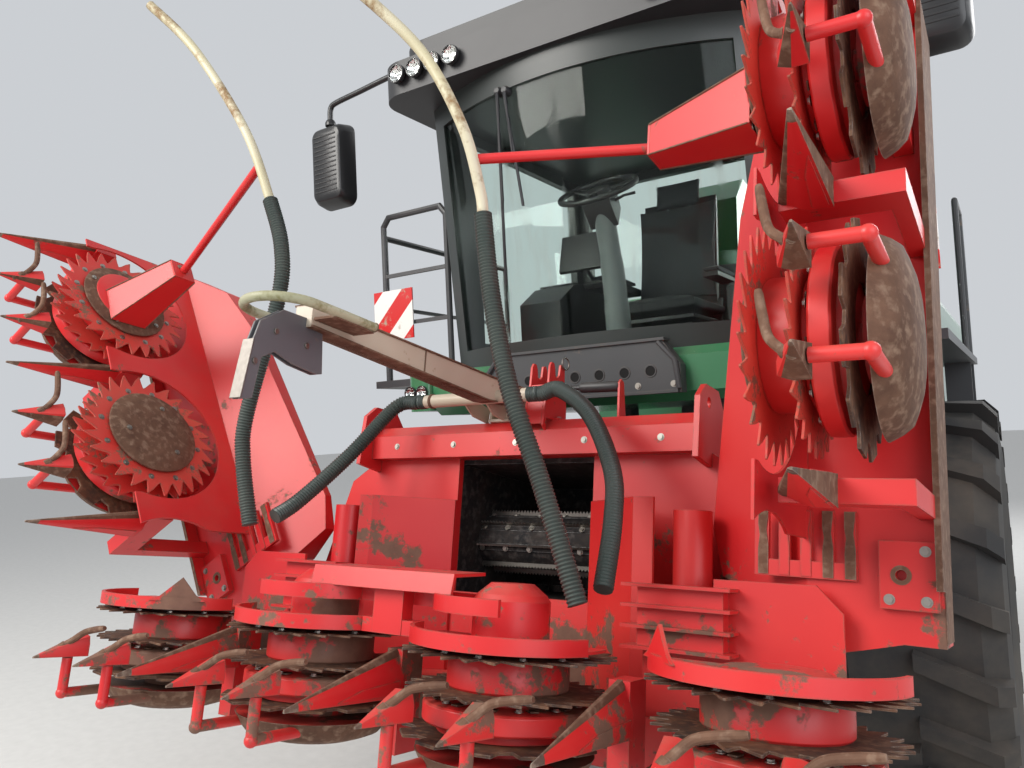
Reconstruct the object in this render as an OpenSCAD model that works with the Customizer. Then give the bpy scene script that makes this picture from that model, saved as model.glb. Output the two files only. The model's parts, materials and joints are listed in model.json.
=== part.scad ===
// Forage harvester with a folding maize header. Millimetres, +Z up, the machine drives towards -Y.
// The origin lies on the ground under the middle of the whole machine's length and width.

/* [Layout] */
// Front axle, measured along Y from the middle of the whole length
front_axle_y = -1242; // [-1400:1:-1000]
// Middle of the machine's own width, measured along X from the middle of its whole width
machine_x = 391; // [300:1:450]
// Distance between the axles
wheelbase = 3200; // [3050:10:3400]
// Rotor row, measured forwards from the front axle
rotor_ahead = 2500; // [2460:10:2700]
// Height of the upper toothed disc of the raised header's centre row
disc_z = 1231; // [1200:1:1280]
// Nose-up tilt of the raised header
header_pitch = 11; // [9:0.5:12]

/* [Wheels] */
// Outer diameter of a front tyre over its lugs
front_tyre_d = 1900; // [1800:10:1940]
// Width of a front tyre
front_tyre_w = 680; // [600:10:700]
// Distance between the front tyres' middles
front_track = 2460; // [2440:10:2600]
// Diameter of a front rim
front_rim_d = 1080; // [960:10:1160]
// Outer diameter of a rear tyre over its lugs
rear_tyre_d = 1350; // [1250:10:1380]
// Width of a rear tyre
rear_tyre_w = 500; // [420:10:520]
// Distance between the rear tyres' middles
rear_track = 2300; // [2280:10:2400]
// Diameter of a rear rim
rear_rim_d = 720; // [640:10:800]
// Height of a lug
lug_h = 45; // [30:1:60]
// Width of a lug
lug_w = 58; // [40:1:80]
// Lugs along each edge of a front tyre
front_lugs = 20; // [16:1:22]
// Lugs along each edge of a rear tyre
rear_lugs = 18; // [14:1:20]

/* [Chassis] */
// Height of the rails' upper face
rail_top = 1400; // [1380:5:1430]
// Height of a rail
rail_h = 300; // [240:5:320]
// Distance from the middle to a rail's inner face
rail_in = 430; // [420:5:450]
// Thickness of a rail
rail_t = 90; // [60:5:100]
// Rear end of the rails, behind the front axle
rail_rear = 5150; // [5100:10:5300]

/* [Cab] */
// Half of the cab's width
cab_half = 850; // [820:5:870]
// Height of the cab floor's underside
cab_z = 2180; // [2160:5:2220]
// Height of the cab's upper edge
cab_top = 3560; // [3500:5:3600]
// Rear face of the cab, behind the front axle
cab_rear = 450; // [400:5:480]
// Front of the cab's middle, ahead of the front axle at the floor
cab_nose = 1230; // [1180:5:1260]
// Radius of the curved windshield
glass_r = 1560; // [1450:10:1700]
// Lean of the windshield, its top ahead of its foot
glass_lean = 6; // [3:0.5:8]
// Thickness of the cab's walls
cab_wall = 50; // [40:1:60]
// Height of the roof
roof_h = 370; // [340:5:390]

/* [Body] */
// Half of the body's width
body_half = 1250; // [1150:10:1260]
// Height of the body's lower edge
body_z = 1480; // [1470:5:1520]
// Height of the body's upper face
body_top = 2850; // [2750:10:2900]
// Radius of the body's shoulders
shoulder_r = 350; // [250:10:400]
// Front end of the body behind the front axle
body_front = 1450; // [1400:10:1500]
// Thickness of the body's walls
body_wall = 25; // [20:1:40]
// Length of the rear hood
hood_len = 450; // [400:10:480]

/* [Spout] */
// Turning axis of the spout, behind the front axle
spout_y = 950; // [930:5:1000]
// Length of the spout's arm
spout_len = 3760; // [3500:10:4000]
// Width of the spout's arm
spout_w = 340; // [280:5:360]

/* [Header] */
// Distance between neighbouring rotors
rotor_pitch = 750; // [730:5:770]
// Radius of the upper toothed disc over its teeth
disc_r = 310; // [290:1:320]
// Number of teeth on a toothed disc
teeth = 26; // [20:1:28]
// Radius of the red drum between the discs
drum_r = 176; // [160:1:190]
// Height of a rotor from its blades to its upper disc
rotor_h = 225; // [215:1:235]
// Radius of a rotor's fixed shaft
shaft_r = 40; // [30:1:50]
// Fold hinge of a wing, measured from the middle
hinge_x = 1080; // [1070:5:1110]
// Height of the fold hinge above the upper disc
hinge_rise = 37; // [30:1:50]
// Fold angle at which the left wing stands
left_fold = 89; // [84:1:89]
// Fold angle at which the right wing stands
right_fold = 59; // [55:1:75]
// Half of the intake opening's width
mouth_half = 310; // [290:5:320]
// Upper edge of the intake opening above the disc
mouth_top = 650; // [640:5:660]
// Length of a divider in front of the rotor row
tip_ahead = 488; // [460:2:500]
// Turn of the guide boom, its tip towards the left
boom_swing = 3; // [0:0.5:6]

/* [Fits] */
// Radial clearance of a shaft in its bore
run_gap = 0.08; // [0.02:0.01:0.1]
// Clearance between moving pieces
move_gap = 8; // [6:1:10]

/* [Hidden] */
$fn = 48;

front_r = front_tyre_d / 2;
rear_r = rear_tyre_d / 2;
hub_r = 90;
rail_z = rail_top - rail_h;
rail_out = rail_in + rail_t;
pivot_y = -50;
pivot_z = 1300;
drum_case_r = 350;
feed_half = 362;
cab_floor = cab_z + cab_wall;
walk_z = 2170;
board = 282;
deck_out = 1450;

// Places shared by several modules
function row_x(i) = (i - 0.5) * rotor_pitch;
wing_rotor = 1.5 * rotor_pitch + rotor_pitch - hinge_x;
box_at = [wing_rotor + rotor_pitch - 75, 50];

// A point of the header as seen from the front axle
function head_point(p) = let(c = cos(header_pitch), s = sin(header_pitch))
    [p[0], -rotor_ahead + p[1] * c + p[2] * s, disc_z - p[1] * s + p[2] * c];
function in_header(p) = let(c = cos(header_pitch), s = sin(header_pitch), y = p[1] + rotor_ahead, z = p[2] - disc_z)
    [p[0], y * c - z * s, y * s + z * c];
module machine() translate([machine_x, front_axle_y, 0]) children();
module header_place()
    translate([machine_x, front_axle_y - rotor_ahead, disc_z]) rotate([-header_pitch, 0, 0]) children();
module wing_place(side, fold)
    header_place() mirror([side < 0 ? 1 : 0, 0, 0])
        translate([hinge_x, 0, hinge_rise]) rotate([0, -fold, 0]) children();
module both() for (s = [0, 1]) mirror([s, 0, 0]) children();
module box(x, y, z) translate([x[0], y[0], z[0]]) cube([x[1] - x[0], y[1] - y[0], z[1] - z[0]]);
module xcyl(r, x) translate([x[0], 0, 0]) rotate([0, 90, 0]) cylinder(r = r, h = x[1] - x[0]);
module ycyl(r, y) translate([0, y[0], 0]) rotate([-90, 0, 0]) cylinder(r = r, h = y[1] - y[0]);
// An outline in Y and Z, drawn out along X
module side_profile(pts, x) translate([x[0], 0, 0]) rotate([90, 0, 90]) linear_extrude(x[1] - x[0]) polygon(pts);
// An outline in X and Z, drawn out along Y
module front_profile(pts, y) translate([0, y[1], 0]) rotate([90, 0, 0]) linear_extrude(y[1] - y[0]) polygon(pts);
// A block with round vertical edges
module round_block(x, y, z, r) {
    box([x[0] + r, x[1] - r], y, z);
    box(x, [y[0] + r, y[1] - r], z);
    for (cx = [x[0] + r, x[1] - r], cy = [y[0] + r, y[1] - r])
        translate([cx, cy, z[0]]) cylinder(r = r, h = z[1] - z[0]);
}
// A round bar between two points
module bar(a, b, r) {
    d = b - a;
    translate(a) rotate([0, acos(d[2] / norm(d)), atan2(d[1], d[0])]) cylinder(r = r, h = norm(d), $fn = 24);
}
function unit(v) = v / norm(v);
// A bent tube along straight legs that lie in one plane, with mitred corners
module rail_tube(pts, r, plane, sides = 10) {
    n = len(pts);
    rings = [for (i = [0:n - 1]) let(
        a = unit(pts[max(i, 1)] - pts[max(i, 1) - 1]), b = unit(pts[min(i, n - 2) + 1] - pts[min(i, n - 2)]),
        t = unit(a + b), u = cross(plane, t) / (t * a))
        for (k = [0:sides - 1]) pts[i] + r * (cos(360 * k / sides) * plane + sin(360 * k / sides) * u)];
    tube_skin(rings, n, sides);
}
module tube_skin(rings, n, sides) polyhedron(rings, concat(
    [for (i = [0:n - 2], k = [0:sides - 1]) let(a = i * sides + k, b = i * sides + (k + 1) % sides)
        each [[a, b, a + sides], [b, b + sides, a + sides]]],
    [[for (k = [sides - 1:-1:0]) k], [for (k = [0:sides - 1]) (n - 1) * sides + k]]));

// Smooth route through hand-set points, and the tube swept along it
function curve_at(p, i, t) = let(
    a = p[max(i - 1, 0)], b = p[i], c = p[i + 1], d = p[min(i + 2, len(p) - 1)])
    0.5 * (2 * b + t * (c - a) + t * t * (2 * a - 5 * b + 4 * c - d) + t * t * t * (3 * b - a - 3 * c + d));
function route(p, steps) = [for (i = [0:len(p) - 2], k = [0:steps - 1]) curve_at(p, i, k / steps),
    p[len(p) - 1]];
module swept_tube(p, r, steps = 3, sides = 10, ref = [0.3, 1, 0.2]) {
    c = route(p, steps);
    n = len(c);
    rings = [for (i = [0:n - 1]) let(
        t = unit(c[min(i + 1, n - 1)] - c[max(i - 1, 0)]), s = unit(cross(t, ref)), u = cross(s, t))
        for (k = [0:sides - 1]) c[i] + r * (cos(360 * k / sides) * s + sin(360 * k / sides) * u)];
    tube_skin(rings, n, sides);
}

// Wheels, drawn about their own middle with the axle along X
module tyre(r, w, rim_r, lugs, hand) {
    tread = r - lug_h;
    rotate([0, 90, 0]) rotate_extrude() polygon([[rim_r, -w * 0.4], [rim_r + 40, -w * 0.46],
        [(rim_r + tread) / 2, -w / 2], [tread - 70, -w * 0.48], [tread, -w * 0.36],
        [tread, w * 0.36], [tread - 70, w * 0.48], [(rim_r + tread) / 2, w / 2],
        [rim_r + 40, w * 0.46], [rim_r, w * 0.4]]);
    intersection() {
        rotate([0, 90, 0]) rotate_extrude() polygon([[tread - 90, -w / 2], [r - 60, -w / 2],
            [r, -w * 0.42], [r, w * 0.42], [r - 60, w / 2], [tread - 90, w / 2], [tread - 12, w * 0.34],
            [tread - 12, -w * 0.34]]);
        for (k = [0:lugs - 1], s = [-1, 1])
            rotate([360 * (k + (s > 0 ? 0.5 : 0)) / lugs, 0, 0])
                linear_extrude(r + 40) polygon([[s * 6, hand * lug_w * 1.9], [s * 6, hand * lug_w * 0.7],
                    [s * w * 0.52, -hand * lug_w * 1.6], [s * w * 0.52, -hand * lug_w * 0.2]]);
    }
}
module rim(rim_r, w, dish) {
    difference() {
        union() {
            rotate([0, 90, 0]) rotate_extrude() polygon([[rim_r - 45, -w * 0.3], [rim_r - 0.1, -w * 0.39],
                [rim_r - 0.1, w * 0.39], [rim_r - 45, w * 0.3], [rim_r - 60, w * 0.3], [rim_r - 60, -w * 0.3]]);
            rotate([0, 90, 0]) rotate_extrude() polygon([[0, dish], [190, dish], [240, dish - 60],
                [rim_r - 50, dish - 60], [rim_r - 50, dish - 84], [230, dish - 84], [180, dish - 40], [0, dish - 40]]);
            xcyl(150, [dish - 100, dish + 30]);
            for (k = [0:9]) rotate([36 * k, 0, 0]) translate([0, 0, 165]) xcyl(14, [dish - 1, dish + 22]);
        }
        xcyl(hub_r + run_gap, [dish - 200, dish - 10]);
    }
}
module front_wheel_place(s) machine() translate([s * front_track / 2, 0, front_r]) children();
module rear_wheel_place(s)
    machine() translate([s * rear_track / 2, wheelbase, rear_r]) children();

front_dish = front_tyre_w * 0.2;
rear_dish = rear_tyre_w * 0.2;
module front_tyre_left() color("#26272a") front_wheel_place(1)
    tyre(front_r, front_tyre_w, front_rim_d / 2, front_lugs, 1);
module front_tyre_right() color("#26272a") front_wheel_place(-1)
    tyre(front_r, front_tyre_w, front_rim_d / 2, front_lugs, 1);
module rear_tyre_left() color("#26272a") rear_wheel_place(1)
    tyre(rear_r, rear_tyre_w, rear_rim_d / 2, rear_lugs, 1);
module rear_tyre_right() color("#26272a") rear_wheel_place(-1)
    tyre(rear_r, rear_tyre_w, rear_rim_d / 2, rear_lugs, 1);
module front_rim_left() color("#b5382f") front_wheel_place(1) rim(front_rim_d / 2, front_tyre_w, front_dish);
module front_rim_right() color("#b5382f") front_wheel_place(-1)
    mirror([1, 0, 0]) rim(front_rim_d / 2, front_tyre_w, front_dish);
module rear_rim_left() color("#b5382f") rear_wheel_place(1) rim(rear_rim_d / 2, rear_tyre_w, rear_dish);
module rear_rim_right() color("#b5382f") rear_wheel_place(-1)
    mirror([1, 0, 0]) rim(rear_rim_d / 2, rear_tyre_w, rear_dish);

// Chassis
stack_y = [-850, 250];
module chassis_frame() color("#3b3f42") machine() {
    both() {
        side_profile([[-700, rail_z + 80], [-600, rail_z], [wheelbase + 700, rail_z],
            [rail_rear, rail_z + 100], [rail_rear, rail_top], [-700, rail_top]], [rail_in, rail_out]);
        for (y = stack_y) box([rail_in, rail_out], [y, y + 120], [rail_top, 1950]);
        for (y = [body_front + 80, 2150, 4050, 4950])
            box([rail_out, body_half], [y, y + 90], [rail_top - 60, body_z]);
    }
    for (y = [1350, wheelbase - 150, 4950]) box([-rail_in, rail_in], [y, y + 300 * (y == 4950 ? 0.5 : 1)],
        [rail_z + 60, rail_top - 60]);
}
// Middle and pins of the lift cylinders, between the axle and the feeder
lift_x = 250;
lift_foot = [lift_x, -235, 850];
lift_eye = head_point([lift_x, 1270, -30]);
module front_axle() color("#33373a") machine() {
    box([-rail_out - 60, rail_out + 60], [-170, 170], [780, 930]);
    both() box([rail_in - 20, rail_out + 60], [-170, 170], [930, rail_z]);
    for (s = [-1, 1], e = [-1, 1]) side_profile([[-170, 800], [-170, 900], [-235, 885], [-265, 865], [-265, 835],
        [-235, 815]], [s * lift_x + e * 45 - 10, s * lift_x + e * 45 + 10]);
    for (s = [-1, 1]) translate([0, lift_foot[1], lift_foot[2]]) xcyl(20, [s * lift_x - 60, s * lift_x + 60]);
    both() translate([0, 0, front_r]) {
        xcyl(230, [rail_out + 60, front_track / 2 - front_tyre_w * 0.3]);
        xcyl(hub_r, [rail_out + 60, front_track / 2 + front_dish - 12]);
    }
}
// Swing axle with its middle stand and the yokes of the steering pins
king_x = 790;
module rear_axle() color("#33373a") machine() translate([0, wheelbase, 0]) {
    box([-690, 690], [-90, 90], [600, 760]);
    side_profile([[-140, 760], [140, 760], [110, rail_z + 60], [-110, rail_z + 60]], [-120, 120]);
    both() difference() {
        union() {
            box([690, 720], [-90, 90], [500, 860]);
            for (z = [500, 800]) {
                box([720, king_x], [-70, 70], [z, z + 60]);
                translate([king_x, 0, z]) cylinder(r = 70, h = 60);
            }
            translate([king_x, 0, 500]) cylinder(r = 30, h = 360);
        }
    }
}
module knuckle(s) machine() translate([0, wheelbase, 0]) mirror([s < 0 ? 1 : 0, 0, 0]) difference() {
    union() {
        translate([king_x, 0, 561]) cylinder(r = 60, h = 238);
        translate([0, 0, rear_r]) {
            xcyl(85, [king_x, rear_track / 2 - rear_tyre_w * 0.3]);
            xcyl(hub_r, [king_x, rear_track / 2 + rear_dish - 12]);
        }
        side_profile([[-50, 640], [-230, 640], [-230, 670], [-50, 710]], [king_x - 5, king_x + 35]);
    }
    translate([king_x, 0, 500]) cylinder(r = 30 + run_gap, h = 400);
}
module knuckle_left() color("#33373a") knuckle(1);
module knuckle_right() color("#33373a") knuckle(-1);
module engine_block() color("#55595c") machine() box([-rail_in, rail_in], [3000, 4700], [rail_top, 2250]);
module fuel_tank() color("#2c2e30") machine() both()
    round_block([rail_out, 1150], [1250, 2150], [780, 1340], 90);

// Chopper drum case, duct and the seat of the spout
duct_half = 210;
turret_seat_z = 2860;
module chopper_housing() color("#3f5a45") machine() {
    difference() {
        union() {
            translate([0, pivot_y, pivot_z]) xcyl(drum_case_r, [-feed_half + 12, feed_half - 12]);
            side_profile([[pivot_y, 1000], [pivot_y, 1650], [520, 1900], [1100, 1900], [1300, 1500],
                [1300, 1080], [600, 960]], [-feed_half + 12, feed_half - 12]);
        }
    }
    side_profile([[560, 1900], [spout_y + 260, 1900], [spout_y + 260, turret_seat_z - 60],
        [spout_y - 260, turret_seat_z - 60], [560, 2300]], [-duct_half, duct_half]);
    translate([0, spout_y, turret_seat_z - 60]) cylinder(r = 330, h = 60);
    translate([0, spout_y, turret_seat_z]) cylinder(r = 270, h = 90);
    for (s = [-1, 1]) translate([0, pivot_y, pivot_z]) xcyl(60, s < 0 ? [-rail_in, -feed_half + 12]
        : [feed_half - 12, rail_in]);
    both() box([feed_half - 12, rail_in], [600, 900], [rail_z + 80, rail_top - 80]);
}

// Rear body
door_y = [2350, 3850];
door_z = [1600, 2420];
function shell_pts(half, top, r, z0) = concat([[-half, z0], [half, z0]],
    [for (a = [0:15:90]) [half - r + r * cos(a), top - r + r * sin(a)]],
    [for (a = [90:15:180]) [-half + r + r * cos(a), top - r + r * sin(a)]]);
module shell_solid(inset, y, z0) front_profile(shell_pts(body_half - inset, body_top - inset,
    shoulder_r - inset, z0), y);
module body_shell() color("#3f9a50") machine() {
    difference() {
        shell_solid(0, [body_front, rail_rear], body_z);
        shell_solid(body_wall, [body_front + body_wall, rail_rear + 1], body_z - 1);
        both() box([body_half - 60, body_half + 1], door_y, door_z);
        for (k = [0:7]) box([-500, 500], [3000 + 90 * k, 3040 + 90 * k], [body_top - 100, body_top + 1]);
    }
    for (s = [-1, 1], z = [door_z[0] + 60, door_z[1] - 140]) {
        box([s > 0 ? body_half : -body_half - 30, s > 0 ? body_half + 30 : -body_half],
            [door_y[0] - 60, door_y[0] - 38], [z, z + 80]);
        for (h = [0, 64]) box([s > 0 ? body_half : -body_half - 26, s > 0 ? body_half + 26 : -body_half],
            [door_y[0] - 40, door_y[0] - 16], [z + h, z + h + 16]);
        translate([s * (body_half + 18), door_y[0] - 16, z]) {
            cylinder(r = 8, h = 80);
            for (h = [0, 64]) translate([0, 0, h]) cylinder(r = 16, h = 16);
        }
    }
    for (x = [-700, 700]) {
        box([x - 90, x - 50], [rail_rear - 60, rail_rear - 10], [body_top, body_top + 40]);
        box([x + 50, x + 90], [rail_rear - 60, rail_rear - 10], [body_top, body_top + 40]);
        translate([x, rail_rear - 10, body_top + 24]) {
            xcyl(10, [-90, 90]);
            xcyl(22, [-90, -50]);
            xcyl(22, [50, 90]);
        }
    }
}
module side_door(s) machine() mirror([s < 0 ? 1 : 0, 0, 0]) {
    difference() {
        box([body_half - body_wall, body_half], [door_y[0] + move_gap, door_y[1] - move_gap],
            [door_z[0] + move_gap, door_z[1] - move_gap]);
        for (k = [0:11]) box([body_half - 60, body_half + 1], [door_y[0] + 400, door_y[1] - 150],
            [door_z[0] + 110 + 52 * k, door_z[0] + 138 + 52 * k]);
    }
    for (z = [door_z[0] + 60, door_z[1] - 140]) difference() {
        union() {
            box([body_half, body_half + 12], [door_y[0] - 16, door_y[0] + 60], [z + 17, z + 63]);
            translate([body_half + 18, door_y[0] - 16, z + 17]) cylinder(r = 16, h = 46);
        }
        translate([body_half + 18, door_y[0] - 16, z]) cylinder(r = 8 + run_gap, h = 80);
        box([body_half - 5, body_half + 2], [door_y[0] - 40, door_y[0] + 2], [z, z + 80]);
    }
}
module side_door_left() color("#3f9a50") side_door(1);
module side_door_right() color("#3f9a50") side_door(-1);
// Rear hood with its rounded back and louvred screen
hood_y = [rail_rear + move_gap, rail_rear + hood_len];
module hood_solid(inset) intersection() {
    shell_solid(inset, [hood_y[0] - (inset > 0 ? 1 : 0), hood_y[1] - inset], body_z + (inset > 0 ? -1 : 0));
    union() {
        box([-2000, 2000], [hood_y[0] - 5, hood_y[1] - inset], [1000, body_top - 300]);
        box([-2000, 2000], [hood_y[0] - 5, hood_y[1] - 300], [1000, 3000]);
        translate([0, hood_y[1] - 300, body_top - 300]) xcyl(300 - inset, [-2000, 2000]);
    }
}
module rear_hood() color("#3f9a50") machine() {
    difference() {
        hood_solid(0);
        hood_solid(body_wall);
        for (k = [0:13]) box([-850, 850], [hood_y[1] - 60, hood_y[1] + 1], [1600 + 60 * k, 1632 + 60 * k]);
    }
    for (x = [-700, 700]) difference() {
        union() {
            box([x - 49, x + 49], [rail_rear - 10, hood_y[0] + 90], [body_top, body_top + 12]);
            translate([x, rail_rear - 10, body_top + 24]) xcyl(22, [-49, 49]);
            box([x - 49, x + 49], [rail_rear - 8, rail_rear + 20], [body_top + 2, body_top + 30]);
        }
        translate([x, rail_rear - 10, body_top + 24]) xcyl(10 + run_gap, [-60, 60]);
        box([x - 60, x + 60], [rail_rear - 60, hood_y[0]], [body_top - 5, body_top + 2]);
    }
}
module exhaust() color("#6d6f70") machine() translate([650, 1750, 0]) {
    translate([0, 0, body_top]) cylinder(r = 90, h = 60);
    translate([0, 0, body_top + 60]) difference() {
        cylinder(r = 65, h = 160);
        translate([0, 0, 20]) cylinder(r = 58, h = 200);
    }
}
// Rear ballast block with the towing jaw
module rear_hitch() color("#3b3f42") machine() difference() {
    union() {
        side_profile([[rail_rear, 900], [rail_rear + 260, 960], [rail_rear + 300, 1100],
            [rail_rear + 300, 1380], [rail_rear, 1380]], [-520, 520]);
        for (z = [980, 1100]) box([-70, 70], [rail_rear + 250, rail_rear + 400], [z, z + 30]);
        for (z = [980, 1100]) translate([0, rail_rear + 400, z]) cylinder(r = 70, h = 30);
    }
    translate([0, rail_rear + 400, 900]) cylinder(r = 16.5, h = 300);
}

// Cab
module cab_volume(inset) intersection() {
    box([-cab_half + inset, cab_half - inset], [-cab_nose - 400, cab_rear - inset],
        [cab_z + inset, cab_top - inset]);
    translate([0, -cab_nose + glass_r, cab_z]) rotate([glass_lean, 0, 0])
        translate([0, 0, -600]) cylinder(r = glass_r - inset, h = 2800, $fn = 96);
}
pillar = 90;
door_span = [-820, 320];
door_foot = cab_z + 90;
window_top = cab_top - 110;
module windshield_hole() box([-cab_half + pillar, cab_half - pillar], [-cab_nose - 400, -700],
    [cab_z + 100, window_top]);
module right_hole() box([-cab_half - 1, -cab_half + 70], [door_span[0], door_span[1]], [cab_z + 160, window_top]);
module rear_hole() box([-cab_half + 120, cab_half - 120], [cab_rear - 70, cab_rear + 1], [cab_z + 450, window_top]);
module door_hole() box([cab_half - 70, cab_half + 1], door_span, [door_foot, window_top]);
module cab_shell() color("#2f5f3a") machine() {
    difference() {
        cab_volume(0);
        cab_volume(cab_wall);
        windshield_hole();
        right_hole();
        rear_hole();
        door_hole();
    }
    for (z = [cab_z + 250, window_top - 330]) {
        box([cab_half, cab_half + 26], [door_span[1] + 42, door_span[1] + 60], [z, z + 80]);
        for (h = [0, 64]) box([cab_half, cab_half + 26], [door_span[1] + 20, door_span[1] + 44], [z + h, z + h + 16]);
        translate([cab_half + 20, door_span[1] + 20, z]) {
            cylinder(r = 8, h = 80);
            for (h = [0, 64]) translate([0, 0, h]) cylinder(r = 16, h = 16);
        }
    }
}
module pane() difference() {
    cab_volume(14);
    cab_volume(20);
}
module cab_glass() color("#7fa79a") machine() {
    intersection() {
        pane();
        windshield_hole();
    }
    intersection() {
        pane();
        right_hole();
    }
    intersection() {
        pane();
        rear_hole();
    }
}
door_frame = 55;
module cab_door() color("#2b2e30") machine() {
    difference() {
        box([cab_half - cab_wall, cab_half], door_span + [move_gap, -move_gap],
            [door_foot + move_gap, window_top - move_gap]);
        box([cab_half - 80, cab_half + 1], door_span + [move_gap + door_frame, -move_gap - door_frame],
            [door_foot + move_gap + 90, window_top - move_gap - door_frame]);
    }
    for (z = [cab_z + 250, window_top - 330]) difference() {
        union() {
            box([cab_half, cab_half + 14], [door_span[1] - 60, door_span[1] + 20], [z + 17, z + 63]);
            translate([cab_half + 20, door_span[1] + 20, z + 17]) cylinder(r = 16, h = 46);
        }
        translate([cab_half + 20, door_span[1] + 20, z]) cylinder(r = 8 + run_gap, h = 80);
        box([cab_half - 5, cab_half + 2], [door_span[1] - 2, door_span[1] + 40], [z, z + 80]);
    }
    box([cab_half, cab_half + 30], [door_span[0] + 30, door_span[0] + 60], [2900, 3100]);
}
module cab_door_glass() color("#7fa79a") machine()
    box([cab_half - 20, cab_half - 14], door_span + [move_gap + door_frame, -move_gap - door_frame],
        [door_foot + move_gap + 90, window_top - move_gap - door_frame]);
roof_front = -1420;
module cab_roof() color("#c9c2ae") machine() {
    round_block([-1000, 1000], [roof_front, cab_rear + 30], [cab_top, cab_top + 170], 160);
    round_block([-940, 940], [roof_front + 90, cab_rear], [cab_top + 170, cab_top + 290], 190);
    round_block([-820, 820], [roof_front + 260, cab_rear - 120], [cab_top + 290, cab_top + roof_h], 190);
}
module cab_interior() color("#5b6064") machine() {
    box([-260, 260], [-360, 60], [cab_floor, cab_floor + 180]);
    round_block([-270, 270], [-420, 100], [cab_floor + 180, cab_floor + 330], 60);
    translate([0, 60, cab_floor + 330]) rotate([-8, 0, 0]) round_block([-250, 250], [-70, 70], [0, 640], 60);
    box([-560, -330], [-620, 150], [cab_floor, cab_floor + 480]);
    box([330, 430], [-250, 80], [cab_floor, cab_floor + 420]);
    translate([0, -800, cab_floor]) cylinder(r = 70, h = 30);
    bar([0, -800, cab_floor + 30], [0, -930, 2960], 45);
    translate([0, -940, 2975]) rotate([28, 0, 0]) {
        rotate_extrude() translate([178, 0]) circle(r = 14, $fn = 20);
        cylinder(r = 50, h = 24, center = true);
        for (a = [30, 150, 270]) rotate([0, 0, a]) box([40, 170], [-14, 14], [-6, 6]);
    }
}

// Green sill under the cab with the lamp housings, and the grey cross member in front of it
sill_y = -1240;
module front_bodywork() color("#3f9a50") machine() {
    side_profile([[sill_y, 1990], [sill_y + 60, 1950], [cab_rear, 1950], [cab_rear, cab_z],
        [sill_y + 60, cab_z], [sill_y, cab_z - 40]], [-cab_half, cab_half]);
    for (s = [-1, 1]) translate([s * 925, 0, 0])
        round_block([-75, 75], [sill_y - 30, -1020], [1975, 2165], 50);
    difference() {
        union() {
            front_profile([[-490, 1985], [490, 1985], [490, 2100], [410, 2215], [-410, 2215], [-490, 2100]],
                [sill_y - 60, sill_y]);
        }
        for (k = [-3:3]) translate([k * 120, 0, 2080]) ycyl(22, [sill_y - 70, sill_y + 10]);
        box([-420, 420], [sill_y - 16, sill_y + 1], [cab_z - 12, cab_z + 40]);
    }
}
module lamps() color("#e8e6da") machine() {
    for (s = [-1, 1]) {
        for (k = [0:1]) translate([s * 925, sill_y - 30, 2070]) translate([(k - 0.5) * 74, 0, 0]) ycyl(34, [-24, 0]);
        for (k = [0:3]) translate([s * (500 + 110 * k), roof_front, cab_top + 90]) ycyl(46, [-40, 0]);
        translate([s * 700, cab_rear + 30, cab_top + 90]) ycyl(46, [0, 40]);
        translate([s * 882, -300, cab_top + 290]) cylinder(r = 50, h = 90);
    }
}
// Walkways, handrails and the ladder
rail_r = 17;
module platforms() color("#26282a") machine() {
    for (s = [-1, 1]) mirror([s < 0 ? 1 : 0, 0, 0]) {
        box([cab_half, deck_out], [-1000, s > 0 ? body_front : cab_rear], [walk_z - 40, walk_z]);
        rail_tube([[1370, -975, walk_z], [1370, -975, 3060], [1330, -975, 3110], [960, -975, 3110],
            [920, -975, 3060], [920, -975, walk_z]], rail_r, [0, 1, 0]);
        for (z = [2480, 2760]) box([920, 1370], [-985, -965], [z, z + 20]);
    }
    rail_tube([[-1430, -900, walk_z], [-1430, -900, 3020], [-1430, 400, 3020], [-1430, 400, walk_z]], rail_r,
        [1, 0, 0]);
    box([-1440, -1420], [-900, 400], [2600, 2620]);
    rail_tube([[1430, 640, walk_z], [1430, 640, 3020], [1430, 1000, 3020], [1430, 1000, walk_z]], rail_r, [1, 0, 0]);
    for (y = [1040, 1400]) box([1290, 1430], [y, y + 25], [450, walk_z - 40]);
    for (k = [0:5]) box([1280, 1440], [1065, 1400], [480 + 270 * k, 510 + 270 * k]);
}
module warning_boards() color("#d8d2c4") machine() both()
    box([1160, 1160 + board], [-1000, -992], [2400, 2400 + board]);
module mirrors() color("#1f2123") machine() both() {
    rail_tube([[968, -1240, cab_top + 170], [968, -1240, cab_top + 210], [1500, -1240, cab_top + 170],
        [1500, -1240, cab_top + 50]], 16, [0, 1, 0]);
    round_block([1370, 1620], [-1300, -1180], [3150, cab_top + 60], 50);
}

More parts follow.
